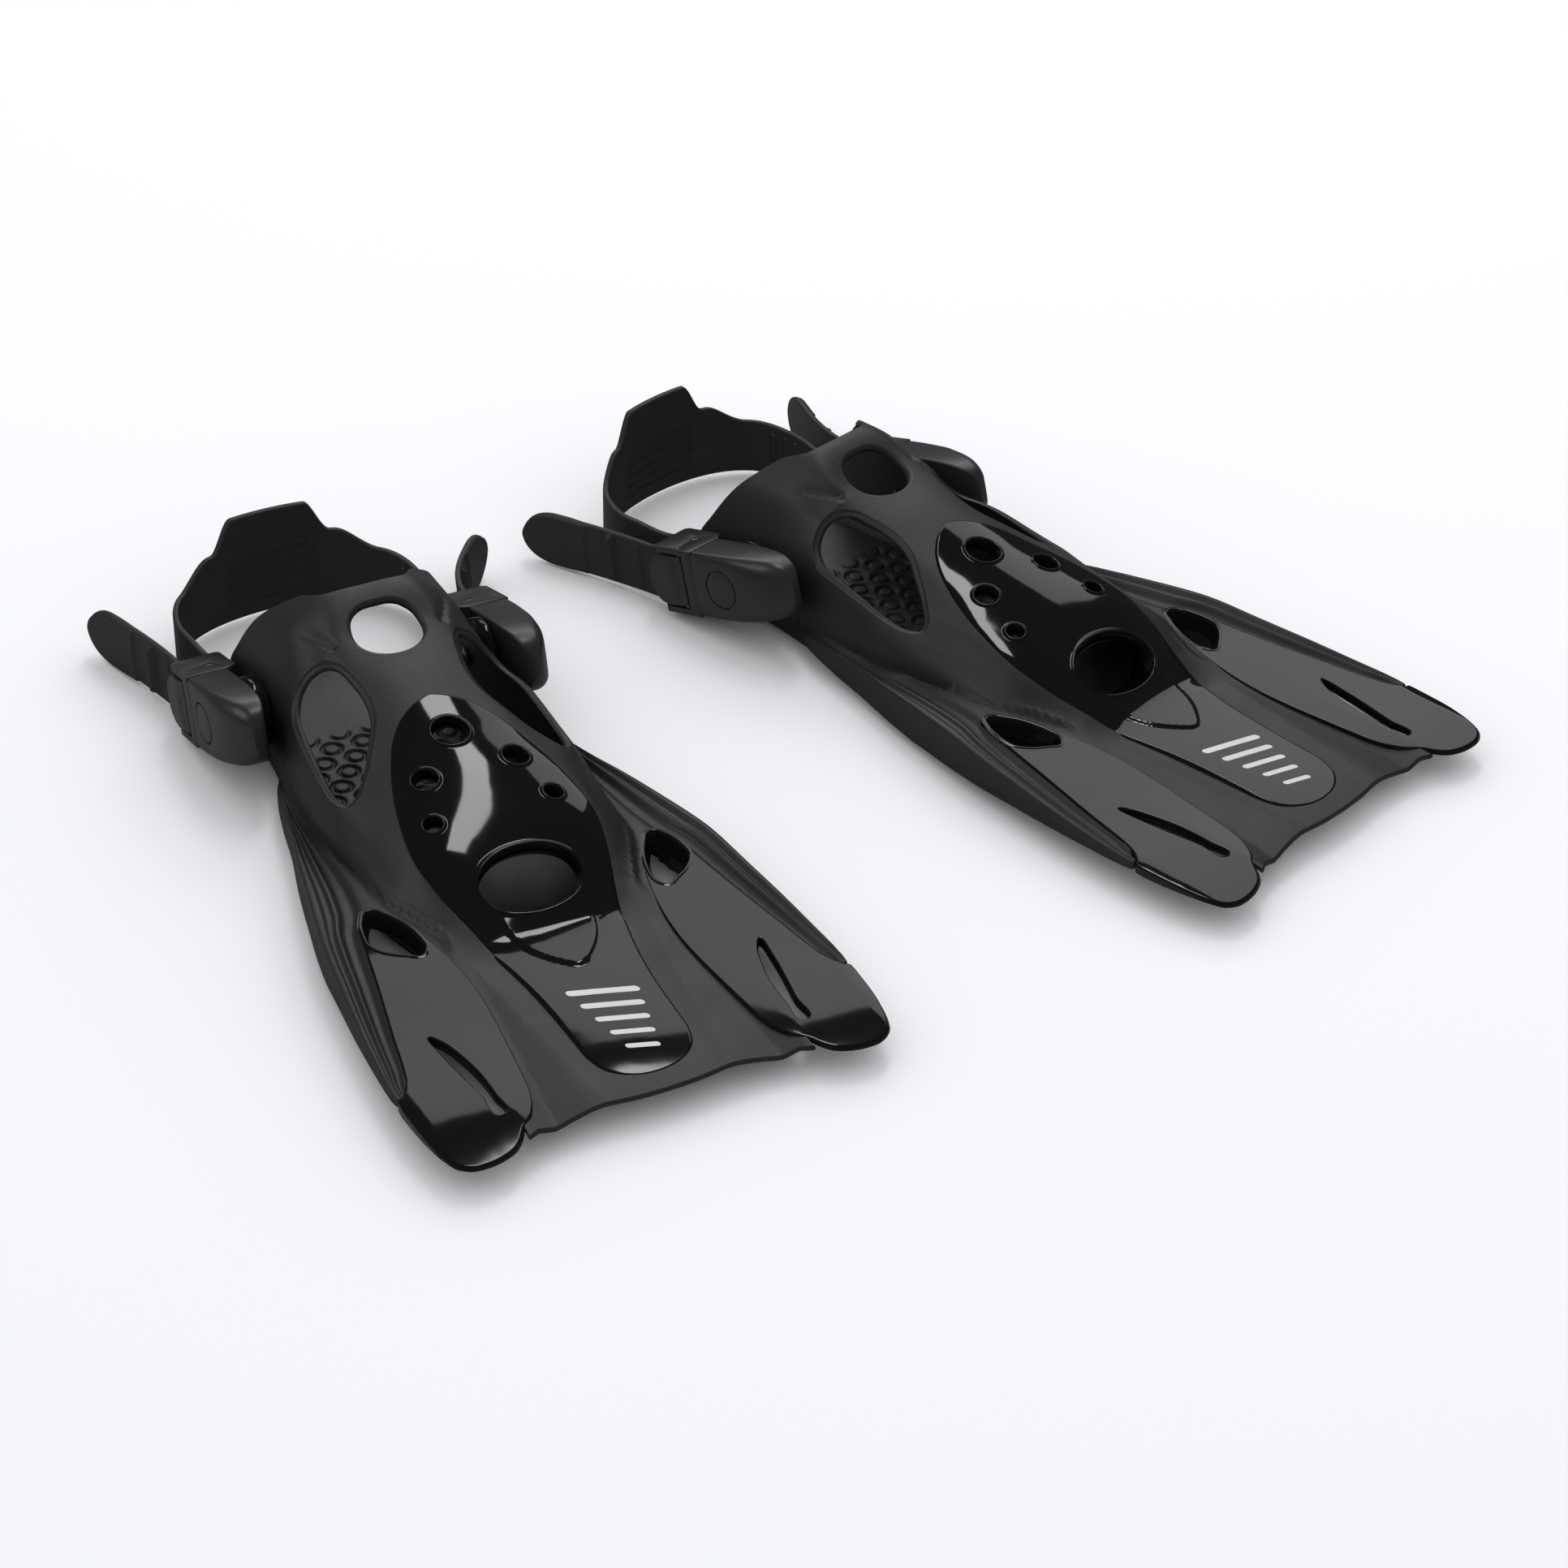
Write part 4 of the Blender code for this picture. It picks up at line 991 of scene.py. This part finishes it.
def carved(mesh, cutter_made):
    """The mesh with a cutter's solid taken out of it."""
    cutter = bpy.data.objects.new("cutter", built("cutter", cutter_made))
    target = bpy.data.objects.new("target", mesh)
    for drawn in (cutter, target):
        bpy.context.scene.collection.objects.link(drawn)
    modifier = target.modifiers.new("cut", "BOOLEAN")
    modifier.operation, modifier.solver, modifier.object = "DIFFERENCE", "EXACT", cutter
    bpy.context.view_layer.update()
    graph = bpy.context.evaluated_depsgraph_get()
    made = bpy.data.meshes.new_from_object(target.evaluated_get(graph))
    made.name = mesh.name
    made.shade_smooth()
    made.set_sharp_from_angle(angle=math.radians(38))
    for drawn in (cutter, target):
        bpy.data.objects.remove(drawn)
    return made


def ring_groove(side):
    """Ring cut round the cap in the buckle's outer face."""
    outer, bottom, top, steps = CAP_RADIUS + 0.8, 81.4, 84.0, 72
    outline = [(CAP_RADIUS, bottom), (CAP_RADIUS, top), (outer, top), (outer, bottom)]
    verts, faces, _ = turned(outline, steps)
    verts = verts * (1, side, 1)
    faces = faces + [(3 * steps + k, 3 * steps + (k + 1) % steps, (k + 1) % steps, k)
                     for k in range(steps)]
    return verts, outward(verts, faces), None


def cap_mesh():
    """Low round cap over the end of the stud."""
    return turned([(0, 82.62), (4, 82.6), (8.4, 82.52), (9.1, 82.35), (CAP_RADIUS, 82.0),
                   (CAP_RADIUS, 80.6), (0, 80.6)], 64)


def stud_mesh():
    """Glossy boss on the pocket's wall, with the shank that the buckle turns on."""
    return turned([(0, 79.0), (4.2, 79.0), (4.6, 78.6), (4.6, 66.0), (3.9, 66.0), (3.9, 64.2),
                   (4.6, 64.2), (4.6, 60.85), (15.2, 60.85), (16.3, 60.6), (16.85, 60.0),
                   (17.0, 59.0), (17.0, 54.6), (4.6, 54.6), (4.6, 49.6), (0, 49.6)], 64)


def softened(name, node, width, angle=28, segments=3):
    """Copy of a CAD node's mesh, in the node's own frame, with its edges rounded."""
    source = bpy.data.objects[node]
    mesh = source.data.copy()
    mesh.name = name
    mesh.materials.clear()
    bm = bmesh.new()
    bm.from_mesh(mesh)
    bmesh.ops.remove_doubles(bm, verts=bm.verts, dist=0.00002)
    bmesh.ops.dissolve_limit(bm, angle_limit=math.radians(3), verts=bm.verts, edges=bm.edges)
    sharp = [e for e in bm.edges if len(e.link_faces) == 2
             and e.calc_face_angle(0) > math.radians(angle)]
    bmesh.ops.bevel(bm, geom=sharp, offset=width * MM, segments=segments, profile=0.5,
                    affect="EDGES", clamp_overlap=True)
    bmesh.ops.recalc_face_normals(bm, faces=bm.faces)
    bm.to_mesh(mesh)
    bm.free()
    mesh.shade_smooth()
    mesh.set_sharp_from_angle(angle=math.radians(35))
    return mesh


def lever_mesh():
    """Thumb lever with a low crown."""
    half = [(-26.7, 0), (-26.7, 6), (-26.7, 11.8), (-27.6, 12.9), (-30, 13.1), (-36, 13.3),
            (-42, 13.2), (-46.2, 11), (-49.0, 7), (-50.1, 0)]
    loop = flowing(half + [(u, -v) for u, v in reversed(half[1:-1])], 1.2,
                   corners=(2, len(half) + 6))

    def top(u, v):
        bow = 1 - np.clip(v / 14, -1, 1) ** 2
        ramp = ease(0, 7, -27.5 - u) * (1 - 0.35 * ease(6, 22, -27.5 - u))
        return 82.1 + 1.5 * ramp * (0.35 + 0.65 * bow)

    edges = [Edge(loop, rounded(1.1), foot=0.5)]
    verts, faces, soft = plate(edges, above(top), under_plane(lambda u, v: 78.3 + 0 * u), 1.1)
    return verts[:, [0, 2, 1]], [tuple(reversed(f)) for f in faces], soft[:, [0, 2, 1]]


# --- the mark ---
def mark_mesh():
    """A row of slanted rounded bars, a plain ornament without letters."""
    parts = []
    for row in range(5):
        x = 272.0 + row * 9.6
        length = (30, 26, 22, 18, 14)[row]
        half = 1.9 - 0.12 * row
        loop = capsule(half, length)
        slant = loop + np.stack([0.32 * loop[:, 1], 0 * loop[:, 1]], 1) + (x, 0.6)
        edges = [Edge(slant, [(0.12, 0), (0, -0.06)], foot=0.02)]
        parts.append(plate(edges, above(lambda a, b: spine_top(a, b) + 0.13),
                           under_plane(lambda a, b: spine_top(a, b) - 0.15), 1.6))
    return join(parts)


def capsule(half, length):
    """Outline of a bar with round ends."""
    angles = np.radians(np.arange(0, 181, 20))
    upper = np.stack([half * np.cos(angles), length / 2 - half + half * np.sin(angles)], 1)
    return np.concatenate([upper, -upper])


# --- materials ---
def add_socket(group, name, kind, way, default=None):
    made = group.interface.new_socket(name=name, in_out=way, socket_type=kind)
    if default is not None:
        made.default_value = default
    return made


def grain_group():
    """Fine moulded grain: colour, roughness and height from an object's own coordinates."""
    group = bpy.data.node_groups.new("moulded_grain", "ShaderNodeTree")
    for name, kind, default in (("Colour", "NodeSocketColor", (0.02, 0.02, 0.02, 1)),
                                ("Roughness", "NodeSocketFloat", 0.5),
                                ("Grain size", "NodeSocketFloat", 2500.0),
                                ("Mottle", "NodeSocketFloat", 0.15)):
        add_socket(group, name, kind, "INPUT", default)
    for name, kind in (("Colour", "NodeSocketColor"), ("Roughness", "NodeSocketFloat"),
                       ("Height", "NodeSocketFloat")):
        add_socket(group, name, kind, "OUTPUT")
    nodes, links = group.nodes, group.links
    given, out = nodes.new("NodeGroupInput"), nodes.new("NodeGroupOutput")
    place = nodes.new("ShaderNodeTexCoord")
    fine, broad = nodes.new("ShaderNodeTexNoise"), nodes.new("ShaderNodeTexNoise")
    fine.inputs["Detail"].default_value = 2.0
    broad.inputs["Scale"].default_value = 45.0
    broad.inputs["Detail"].default_value = 3.0
    for noise in (fine, broad):
        links.new(place.outputs["Object"], noise.inputs["Vector"])
    links.new(given.outputs["Grain size"], fine.inputs["Scale"])
    centred = math_node(nodes, links, "SUBTRACT", broad.outputs["Fac"], 0.5)
    swing = math_node(nodes, links, "MULTIPLY", centred, given.outputs["Mottle"])
    factor = math_node(nodes, links, "ADD", swing, 1.0)
    tint = nodes.new("ShaderNodeVectorMath")
    tint.operation = "SCALE"
    links.new(given.outputs["Colour"], tint.inputs[0])
    links.new(factor, tint.inputs["Scale"])
    rough = math_node(nodes, links, "MULTIPLY", given.outputs["Roughness"], factor)
    links.new(tint.outputs["Vector"], out.inputs["Colour"])
    links.new(rough, out.inputs["Roughness"])
    links.new(fine.outputs["Fac"], out.inputs["Height"])
    return group


def math_node(nodes, links, operation, *values):
    node = nodes.new("ShaderNodeMath")
    node.operation = operation
    for socket, value in zip(node.inputs, values):
        if isinstance(value, (int, float)):
            socket.default_value = value
        else:
            links.new(value, socket)
    return node.outputs[0]


def moulded(name, group, colour, roughness, bump, grain=2500.0, mottle=0.15):
    """Principled material fed by the shared grain group."""
    made = bpy.data.materials.new(name)
    made.use_nodes = True
    nodes, links = made.node_tree.nodes, made.node_tree.links
    shader = nodes["Principled BSDF"]
    grain_node = nodes.new("ShaderNodeGroup")
    grain_node.node_tree = group
    grain_node.inputs["Colour"].default_value = (*colour, 1)
    grain_node.inputs["Roughness"].default_value = roughness
    grain_node.inputs["Grain size"].default_value = grain
    grain_node.inputs["Mottle"].default_value = mottle
    bump_node = nodes.new("ShaderNodeBump")
    bump_node.inputs["Strength"].default_value = bump
    bump_node.inputs["Distance"].default_value = 0.0002
    links.new(grain_node.outputs["Height"], bump_node.inputs["Height"])
    links.new(bump_node.outputs["Normal"], shader.inputs["Normal"])
    links.new(grain_node.outputs["Colour"], shader.inputs["Base Color"])
    links.new(grain_node.outputs["Roughness"], shader.inputs["Roughness"])
    return made


class Finishes:
    """The materials, made once from the stage's sizes and colours."""

    def __init__(self, settings):
        group = grain_group()
        # name, group, colour, roughness, bump, size of the grain, mottle
        self.rubber = moulded("charcoal_rubber", group, settings.rubber_colour,
                              settings.rubber_roughness, 0.55, 1400.0, 0.3)
        self.gloss = moulded("black_gloss", group, settings.gloss_colour, 0.06, 0.45, 38.0,
                             0.25)
        self.hard = moulded("satin_buckle", group, settings.buckle_colour, 0.31, 0.12, 3200.0,
                            0.2)
        self.strap = moulded("strap_rubber", group, settings.strap_colour, 0.55, 0.5, 1400.0,
                             0.3)
        self.lever = moulded("lever_satin", group, settings.buckle_colour, 0.30, 0.1, 3200.0,
                             0.2)
        self.steel = moulded("brushed_steel", group, (0.5, 0.5, 0.52), 0.3, 0.1, 4000.0)
        self.steel.node_tree.nodes["Principled BSDF"].inputs["Metallic"].default_value = 1.0
        self.mark = moulded("grey_print", group, (0.55, 0.56, 0.58), 0.45, 0.05)


FINISH = {}


def finish_for(name):
    """A finish by name; all of them are made on first use."""
    if not FINISH:
        FINISH.update(vars(Finishes(bpy.context.scene.fin_finishes)))
    return FINISH[name]


def built(name, made, side=1):
    return mesh_from(name, made[0], made[1], made[2], side)


# --- settings ---
def colour_property(name, description, default):
    return FloatVectorProperty(name=name, description=description, default=default,
                               size=3, min=0, max=1, subtype="COLOR")


class FinFinishes(bpy.types.PropertyGroup):
    """Colours and surface of the fins."""

    rubber_colour: colour_property("Rubber", "Colour of the pocket and rails",
                                   (0.0135, 0.0136, 0.0145))
    rubber_roughness: FloatProperty(name="Rubber roughness", default=0.47, min=0, max=1,
                                    description="How matt the moulded rubber is",
                                    subtype="FACTOR")
    gloss_colour: colour_property("Gloss", "Colour of the panels", (0.0045, 0.0045, 0.005))
    buckle_colour: colour_property("Buckles", "Colour of the buckles", (0.018, 0.0182, 0.0193))
    strap_colour: colour_property("Strap", "Colour of the straps", (0.016, 0.016, 0.0172))


class FinStage(bpy.types.PropertyGroup):
    """Floor, lights and camera."""

    floor_colour: colour_property("Floor", "Colour of the floor", (0.93, 0.94, 0.955))
    focal_length: FloatProperty(name="Focal length", default=85.04, min=20, max=300,
                                description="Focal length of the camera in millimetres")
    roll: FloatProperty(name="Camera roll", default=math.radians(1.15), subtype="ANGLE",
                        unit="ROTATION", description="How far the camera leans over")
    card_power: FloatProperty(name="Card", default=1.3, min=0,
                              description="Brightness of the wide card the panels mirror")
    strip_power: FloatProperty(name="Strip", default=7.0, min=0,
                               description="Brightness of the strip that streaks the instep")


# --- operators, one for each kind of piece ---
def put_on_fins(body, slot, *pieces):
    """Pieces on each fin, given as (name, geometry, finish, CAD nodes they stand for)."""
    meshes = [built(name, made) for name, made, _, _ in pieces]
    for fin in FINS:
        for mesh, (name, _, finish, nodes) in zip(meshes, pieces):
            put(f"{fin}_{name}", mesh, fin_place(fin), f"{fin}_{body}",
                finish_for(finish), [f"{fin}_{node}" for node in nodes])
    return {"FINISHED"}


class PocketOperator(bpy.types.Operator):
    """Moulded foot pocket of both fins"""
    bl_idname = "swim_fins.pockets"
    bl_label = "Foot pockets"

    def execute(self, context):
        return put_on_fins("fin", "pocket_rubber",
                           ("pocket_shell", pocket_mesh(), "rubber", ["foot_pocket"]))


class FootbedOperator(bpy.types.Operator):
    """Footbeds with sunk rings"""
    bl_idname = "swim_fins.footbeds"
    bl_label = "Footbeds"

    def execute(self, context):
        return put_on_fins("fin", "pocket_rubber",
                           ("footbed_pad", footbed_mesh(), "rubber", ["footbed"]))


class FrameOperator(bpy.types.Operator):
    """Rubber rails, webs and channels"""
    bl_idname = "swim_fins.frames"
    bl_label = "Rubber frames"

    def execute(self, context):
        return put_on_fins("fin", "pocket_rubber",
                           ("rail_frame", frame_mesh(), "rubber", ["blade_frame"]))


class SpineOperator(bpy.types.Operator):
    """Glossy instep and spine with the grey ornament"""
    bl_idname = "swim_fins.spines"
    bl_label = "Centre panels"

    def execute(self, context):
        return put_on_fins("fin", "gloss_panel",
                           ("spine_panel", centre_mesh(), "gloss", ["centre_panel"]),
                           ("spine_mark", mark_mesh(), "mark", []))


class SidePanelOperator(bpy.types.Operator):
    """Glossy side panels of the blades"""
    bl_idname = "swim_fins.side_panels"
    bl_label = "Side panels"

    def execute(self, context):
        meshes = {side: side_mesh(side) for side in (1, -1)}
        for fin, label in EVERY_SIDE:
            side, prefix = body_names(fin, label)
            put(prefix + "_wing_panel", meshes[side], fin_place(fin), fin + "_fin",
                finish_for("gloss"), [prefix + "_side_panel"])
        return {"FINISHED"}


class HeelStrapOperator(bpy.types.Operator):
    """Heel straps with ribbed pads"""
    bl_idname = "swim_fins.heel_straps"
    bl_label = "Heel straps"

    def execute(self, context):
        return put_on_fins("heel_loop", "strap_rubber",
                           ("heel_band", heel_mesh(), "strap", ["heel_strap"]))


class TailOperator(bpy.types.Operator):
    """Free ends of the straps and their turns round the rollers"""
    bl_idname = "swim_fins.tails"
    bl_label = "Strap ends"

    def execute(self, context):
        turns = {side: built("strap_turn", turn_mesh(side)) for side in (1, -1)}
        for fin, label in EVERY_SIDE:
            side, prefix = body_names(fin, label)
            mesh = built(prefix + "_free_end", tail_mesh(TAIL_TIP[fin, label], side))
            put(prefix + "_free_end", mesh, fin_place(fin), prefix + "_tail",
                finish_for("strap"), [prefix + "_strap_tail"])
            put(prefix + "_strap_turn", turns[side], buckle_place(fin), prefix + "_buckle",
                finish_for("strap"))
        return {"FINISHED"}


class BuckleOperator(bpy.types.Operator):
    """Swivelling buckles with caps, studs, frames and levers"""
    bl_idname = "swim_fins.buckles"
    bl_label = "Buckles"

    def execute(self, context):
        shared = {}
        for side in (1, -1):
            shell = built("buckle_shell", housing_mesh(), side)
            shared[side] = {"shell": carved(shell, ring_groove(side)),
                            "cap": built("buckle_cap", cap_mesh(), side),
                            "boss": built("swivel_boss", stud_mesh(), side),
                            "thumb": built("thumb_lever", lever_mesh(), side)}
        for fin, label in EVERY_SIDE:
            side, prefix = body_names(fin, label)
            place, made, body = buckle_place(fin), shared[side], prefix + "_buckle"
            put(prefix + "_buckle_shell", made["shell"], place, body,
                finish_for("hard"), [prefix + "_buckle_housing"])
            put(prefix + "_cap_disc", made["cap"], place, body,
                finish_for("hard"), [prefix + "_pivot_cap"])
            put(prefix + "_swivel_boss", made["boss"], place, fin + "_fin",
                finish_for("gloss"), [prefix + "_swivel_stud"])
            put(prefix + "_thumb_lever", made["thumb"], place, prefix + "_lever",
                finish_for("lever"), [prefix + "_release_lever"])
            guide = softened(prefix + "_guide", prefix + "_buckle_frame", 0.6)
            put(prefix + "_guide", guide, Matrix.Identity(4), body,
                finish_for("hard"), [prefix + "_buckle_frame"])
        return {"FINISHED"}


class SteelOperator(bpy.types.Operator):
    """Steel rollers, pins, springs and clips"""
    bl_idname = "swim_fins.steel"
    bl_label = "Steel pieces"

    def execute(self, context):
        for fin, label in EVERY_SIDE:
            for piece in ("strap_roller", "lever_pin", "lever_spring", "stud_clip"):
                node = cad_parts[f"{fin}_{label}_{piece}"]
                node.data.materials.clear()
                node.data.materials.append(finish_for("steel"))
        return {"FINISHED"}


def lamp(name, direction, distance, size, power):
    """Area lamp out at a direction, facing the fins, of a given radiance."""
    data = bpy.data.lights.new(name, "AREA")
    data.shape = "RECTANGLE"
    data.size, data.size_y = size
    data.energy = power * math.pi * size[0] * size[1]
    made = bpy.data.objects.new(name, data)
    bpy.context.scene.collection.objects.link(made)
    towards = Vector(direction).normalized()
    made.location = towards * distance
    made.rotation_euler = towards.to_track_quat("Z", "Y").to_euler()
    made.visible_camera = False
    return made


def lit_only(light, pieces):
    """Keeps a lamp on these pieces, so that the mirrors don't show it."""
    chosen = bpy.data.collections.new(light.name + "_receivers")
    for piece in pieces:
        chosen.objects.link(piece)
    light.light_linking.receiver_collection = chosen


def floor_material(colour):
    """Floor paint that glossy reflections see as a darker tone."""
    made = bpy.data.materials.new("floor_paint")
    made.use_nodes = True
    nodes, links = made.node_tree.nodes, made.node_tree.links
    shader, out = nodes["Principled BSDF"], nodes["Material Output"]
    shader.inputs["Base Color"].default_value = (*colour, 1)
    shader.inputs["Roughness"].default_value = 0.9
    shader.inputs["Specular IOR Level"].default_value = 0.1
    dim, mix, path = (nodes.new("ShaderNodeBsdfDiffuse"), nodes.new("ShaderNodeMixShader"),
                      nodes.new("ShaderNodeLightPath"))
    dim.inputs["Color"].default_value = (0.25, 0.25, 0.26, 1)
    links.new(path.outputs["Is Glossy Ray"], mix.inputs["Fac"])
    links.new(shader.outputs["BSDF"], mix.inputs[1])
    links.new(dim.outputs["BSDF"], mix.inputs[2])
    links.new(mix.outputs["Shader"], out.inputs["Surface"])
    return made


class StageOperator(bpy.types.Operator):
    """Pale floor, soft studio lights and the camera"""
    bl_idname = "swim_fins.stage"
    bl_label = "Stage"

    def execute(self, context):
        stage = context.scene.fin_stage
        floor_mesh = bpy.data.meshes.new("floor")
        floor_mesh.from_pydata([(-6, -6, 0), (6, -6, 0), (6, 6, 0), (-6, 6, 0)], [],
                               [(0, 1, 2, 3)])
        floor_mesh.materials.append(floor_material(stage.floor_colour))
        floor = bpy.data.objects.new("floor", floor_mesh)
        context.scene.collection.objects.link(floor)
        floor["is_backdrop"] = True

        world = bpy.data.worlds.new("studio")
        world.use_nodes = True
        context.scene.world = world
        nodes, links = world.node_tree.nodes, world.node_tree.links
        bright = nodes["Background"]
        bright.inputs["Color"].default_value = (0.985, 0.99, 1.0, 1)
        bright.inputs["Strength"].default_value = 0.86
        dark, mix, path = (nodes.new("ShaderNodeBackground"), nodes.new("ShaderNodeMixShader"),
                           nodes.new("ShaderNodeLightPath"))
        dark.inputs["Color"].default_value = (0.05, 0.05, 0.055, 1)
        links.new(path.outputs["Is Glossy Ray"], mix.inputs["Fac"])
        links.new(bright.outputs["Background"], mix.inputs[1])
        links.new(dark.outputs["Background"], mix.inputs[2])
        links.new(mix.outputs["Shader"], nodes["World Output"].inputs["Surface"])

        lamp("card", (0.54, 0.60, 0.635), 3.0, (2.4, 1.05), stage.card_power)
        lamp("strip", (0.28, 0.30, 0.95), 2.6, (0.36, 1.15), stage.strip_power)

        matt = [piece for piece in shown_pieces() if piece.data.materials
                and piece.data.materials[0].name not in ("black_gloss", "floor_paint")]
        for name, direction, size, power in (("key", (-0.62, 0.30, 0.72), (1.5, 1.5), 1.7),
                                             ("back", (0.45, 0.75, 0.55), (2.4, 0.9), 1.1)):
            lit_only(lamp(name, direction, 2.6, size, power), matt)

        camera_data = bpy.data.cameras.new("camera")
        camera_data.lens = stage.focal_length
        camera_data.sensor_width = 36
        camera = bpy.data.objects.new("camera", camera_data)
        context.scene.collection.objects.link(camera)
        look = Vector((0.5108, 0.6533, -0.5588)).normalized()
        right = look.cross(Vector((0, 0, 1))).normalized()
        up = right.cross(look)
        leaned = right * math.cos(stage.roll) + up * math.sin(stage.roll)
        upright = leaned.cross(look)
        turn = Matrix((leaned, upright, -look)).transposed().to_4x4()
        camera.matrix_world = Matrix.Translation((-0.8835, -1.1717, 0.969)) @ turn
        context.scene.camera = camera
        context.scene.view_settings.view_transform = "Standard"
        return {"FINISHED"}


class FinPanel(bpy.types.Panel):
    """Sizes, colours and pieces of the swim fins"""
    bl_idname = "VIEW3D_PT_swim_fins"
    bl_label = "Swim fins"
    bl_space_type = "VIEW_3D"
    bl_region_type = "UI"
    bl_category = "Swim fins"

    def draw(self, context):
        for group in (context.scene.fin_finishes, context.scene.fin_stage):
            box = self.layout.box()
            for name in group.__annotations__:
                box.prop(group, name)
        for operator in OPERATORS:
            self.layout.operator(operator.bl_idname)


OPERATORS = (PocketOperator, FootbedOperator, FrameOperator, SpineOperator,
             SidePanelOperator, HeelStrapOperator, TailOperator, BuckleOperator,
             SteelOperator, StageOperator)
CLASSES = (FinFinishes, FinStage) + OPERATORS + (FinPanel,)


def register():
    for kind in CLASSES:
        bpy.utils.register_class(kind)
    bpy.types.Scene.fin_finishes = PointerProperty(type=FinFinishes)
    bpy.types.Scene.fin_stage = PointerProperty(type=FinStage)


def unregister():
    del bpy.types.Scene.fin_finishes
    del bpy.types.Scene.fin_stage
    for kind in reversed(CLASSES):
        bpy.utils.unregister_class(kind)


def main():
    register()
    for operator in OPERATORS:
        space, name = operator.bl_idname.split(".")
        getattr(getattr(bpy.ops, space), name)()


if __name__ == "__main__":
    main()
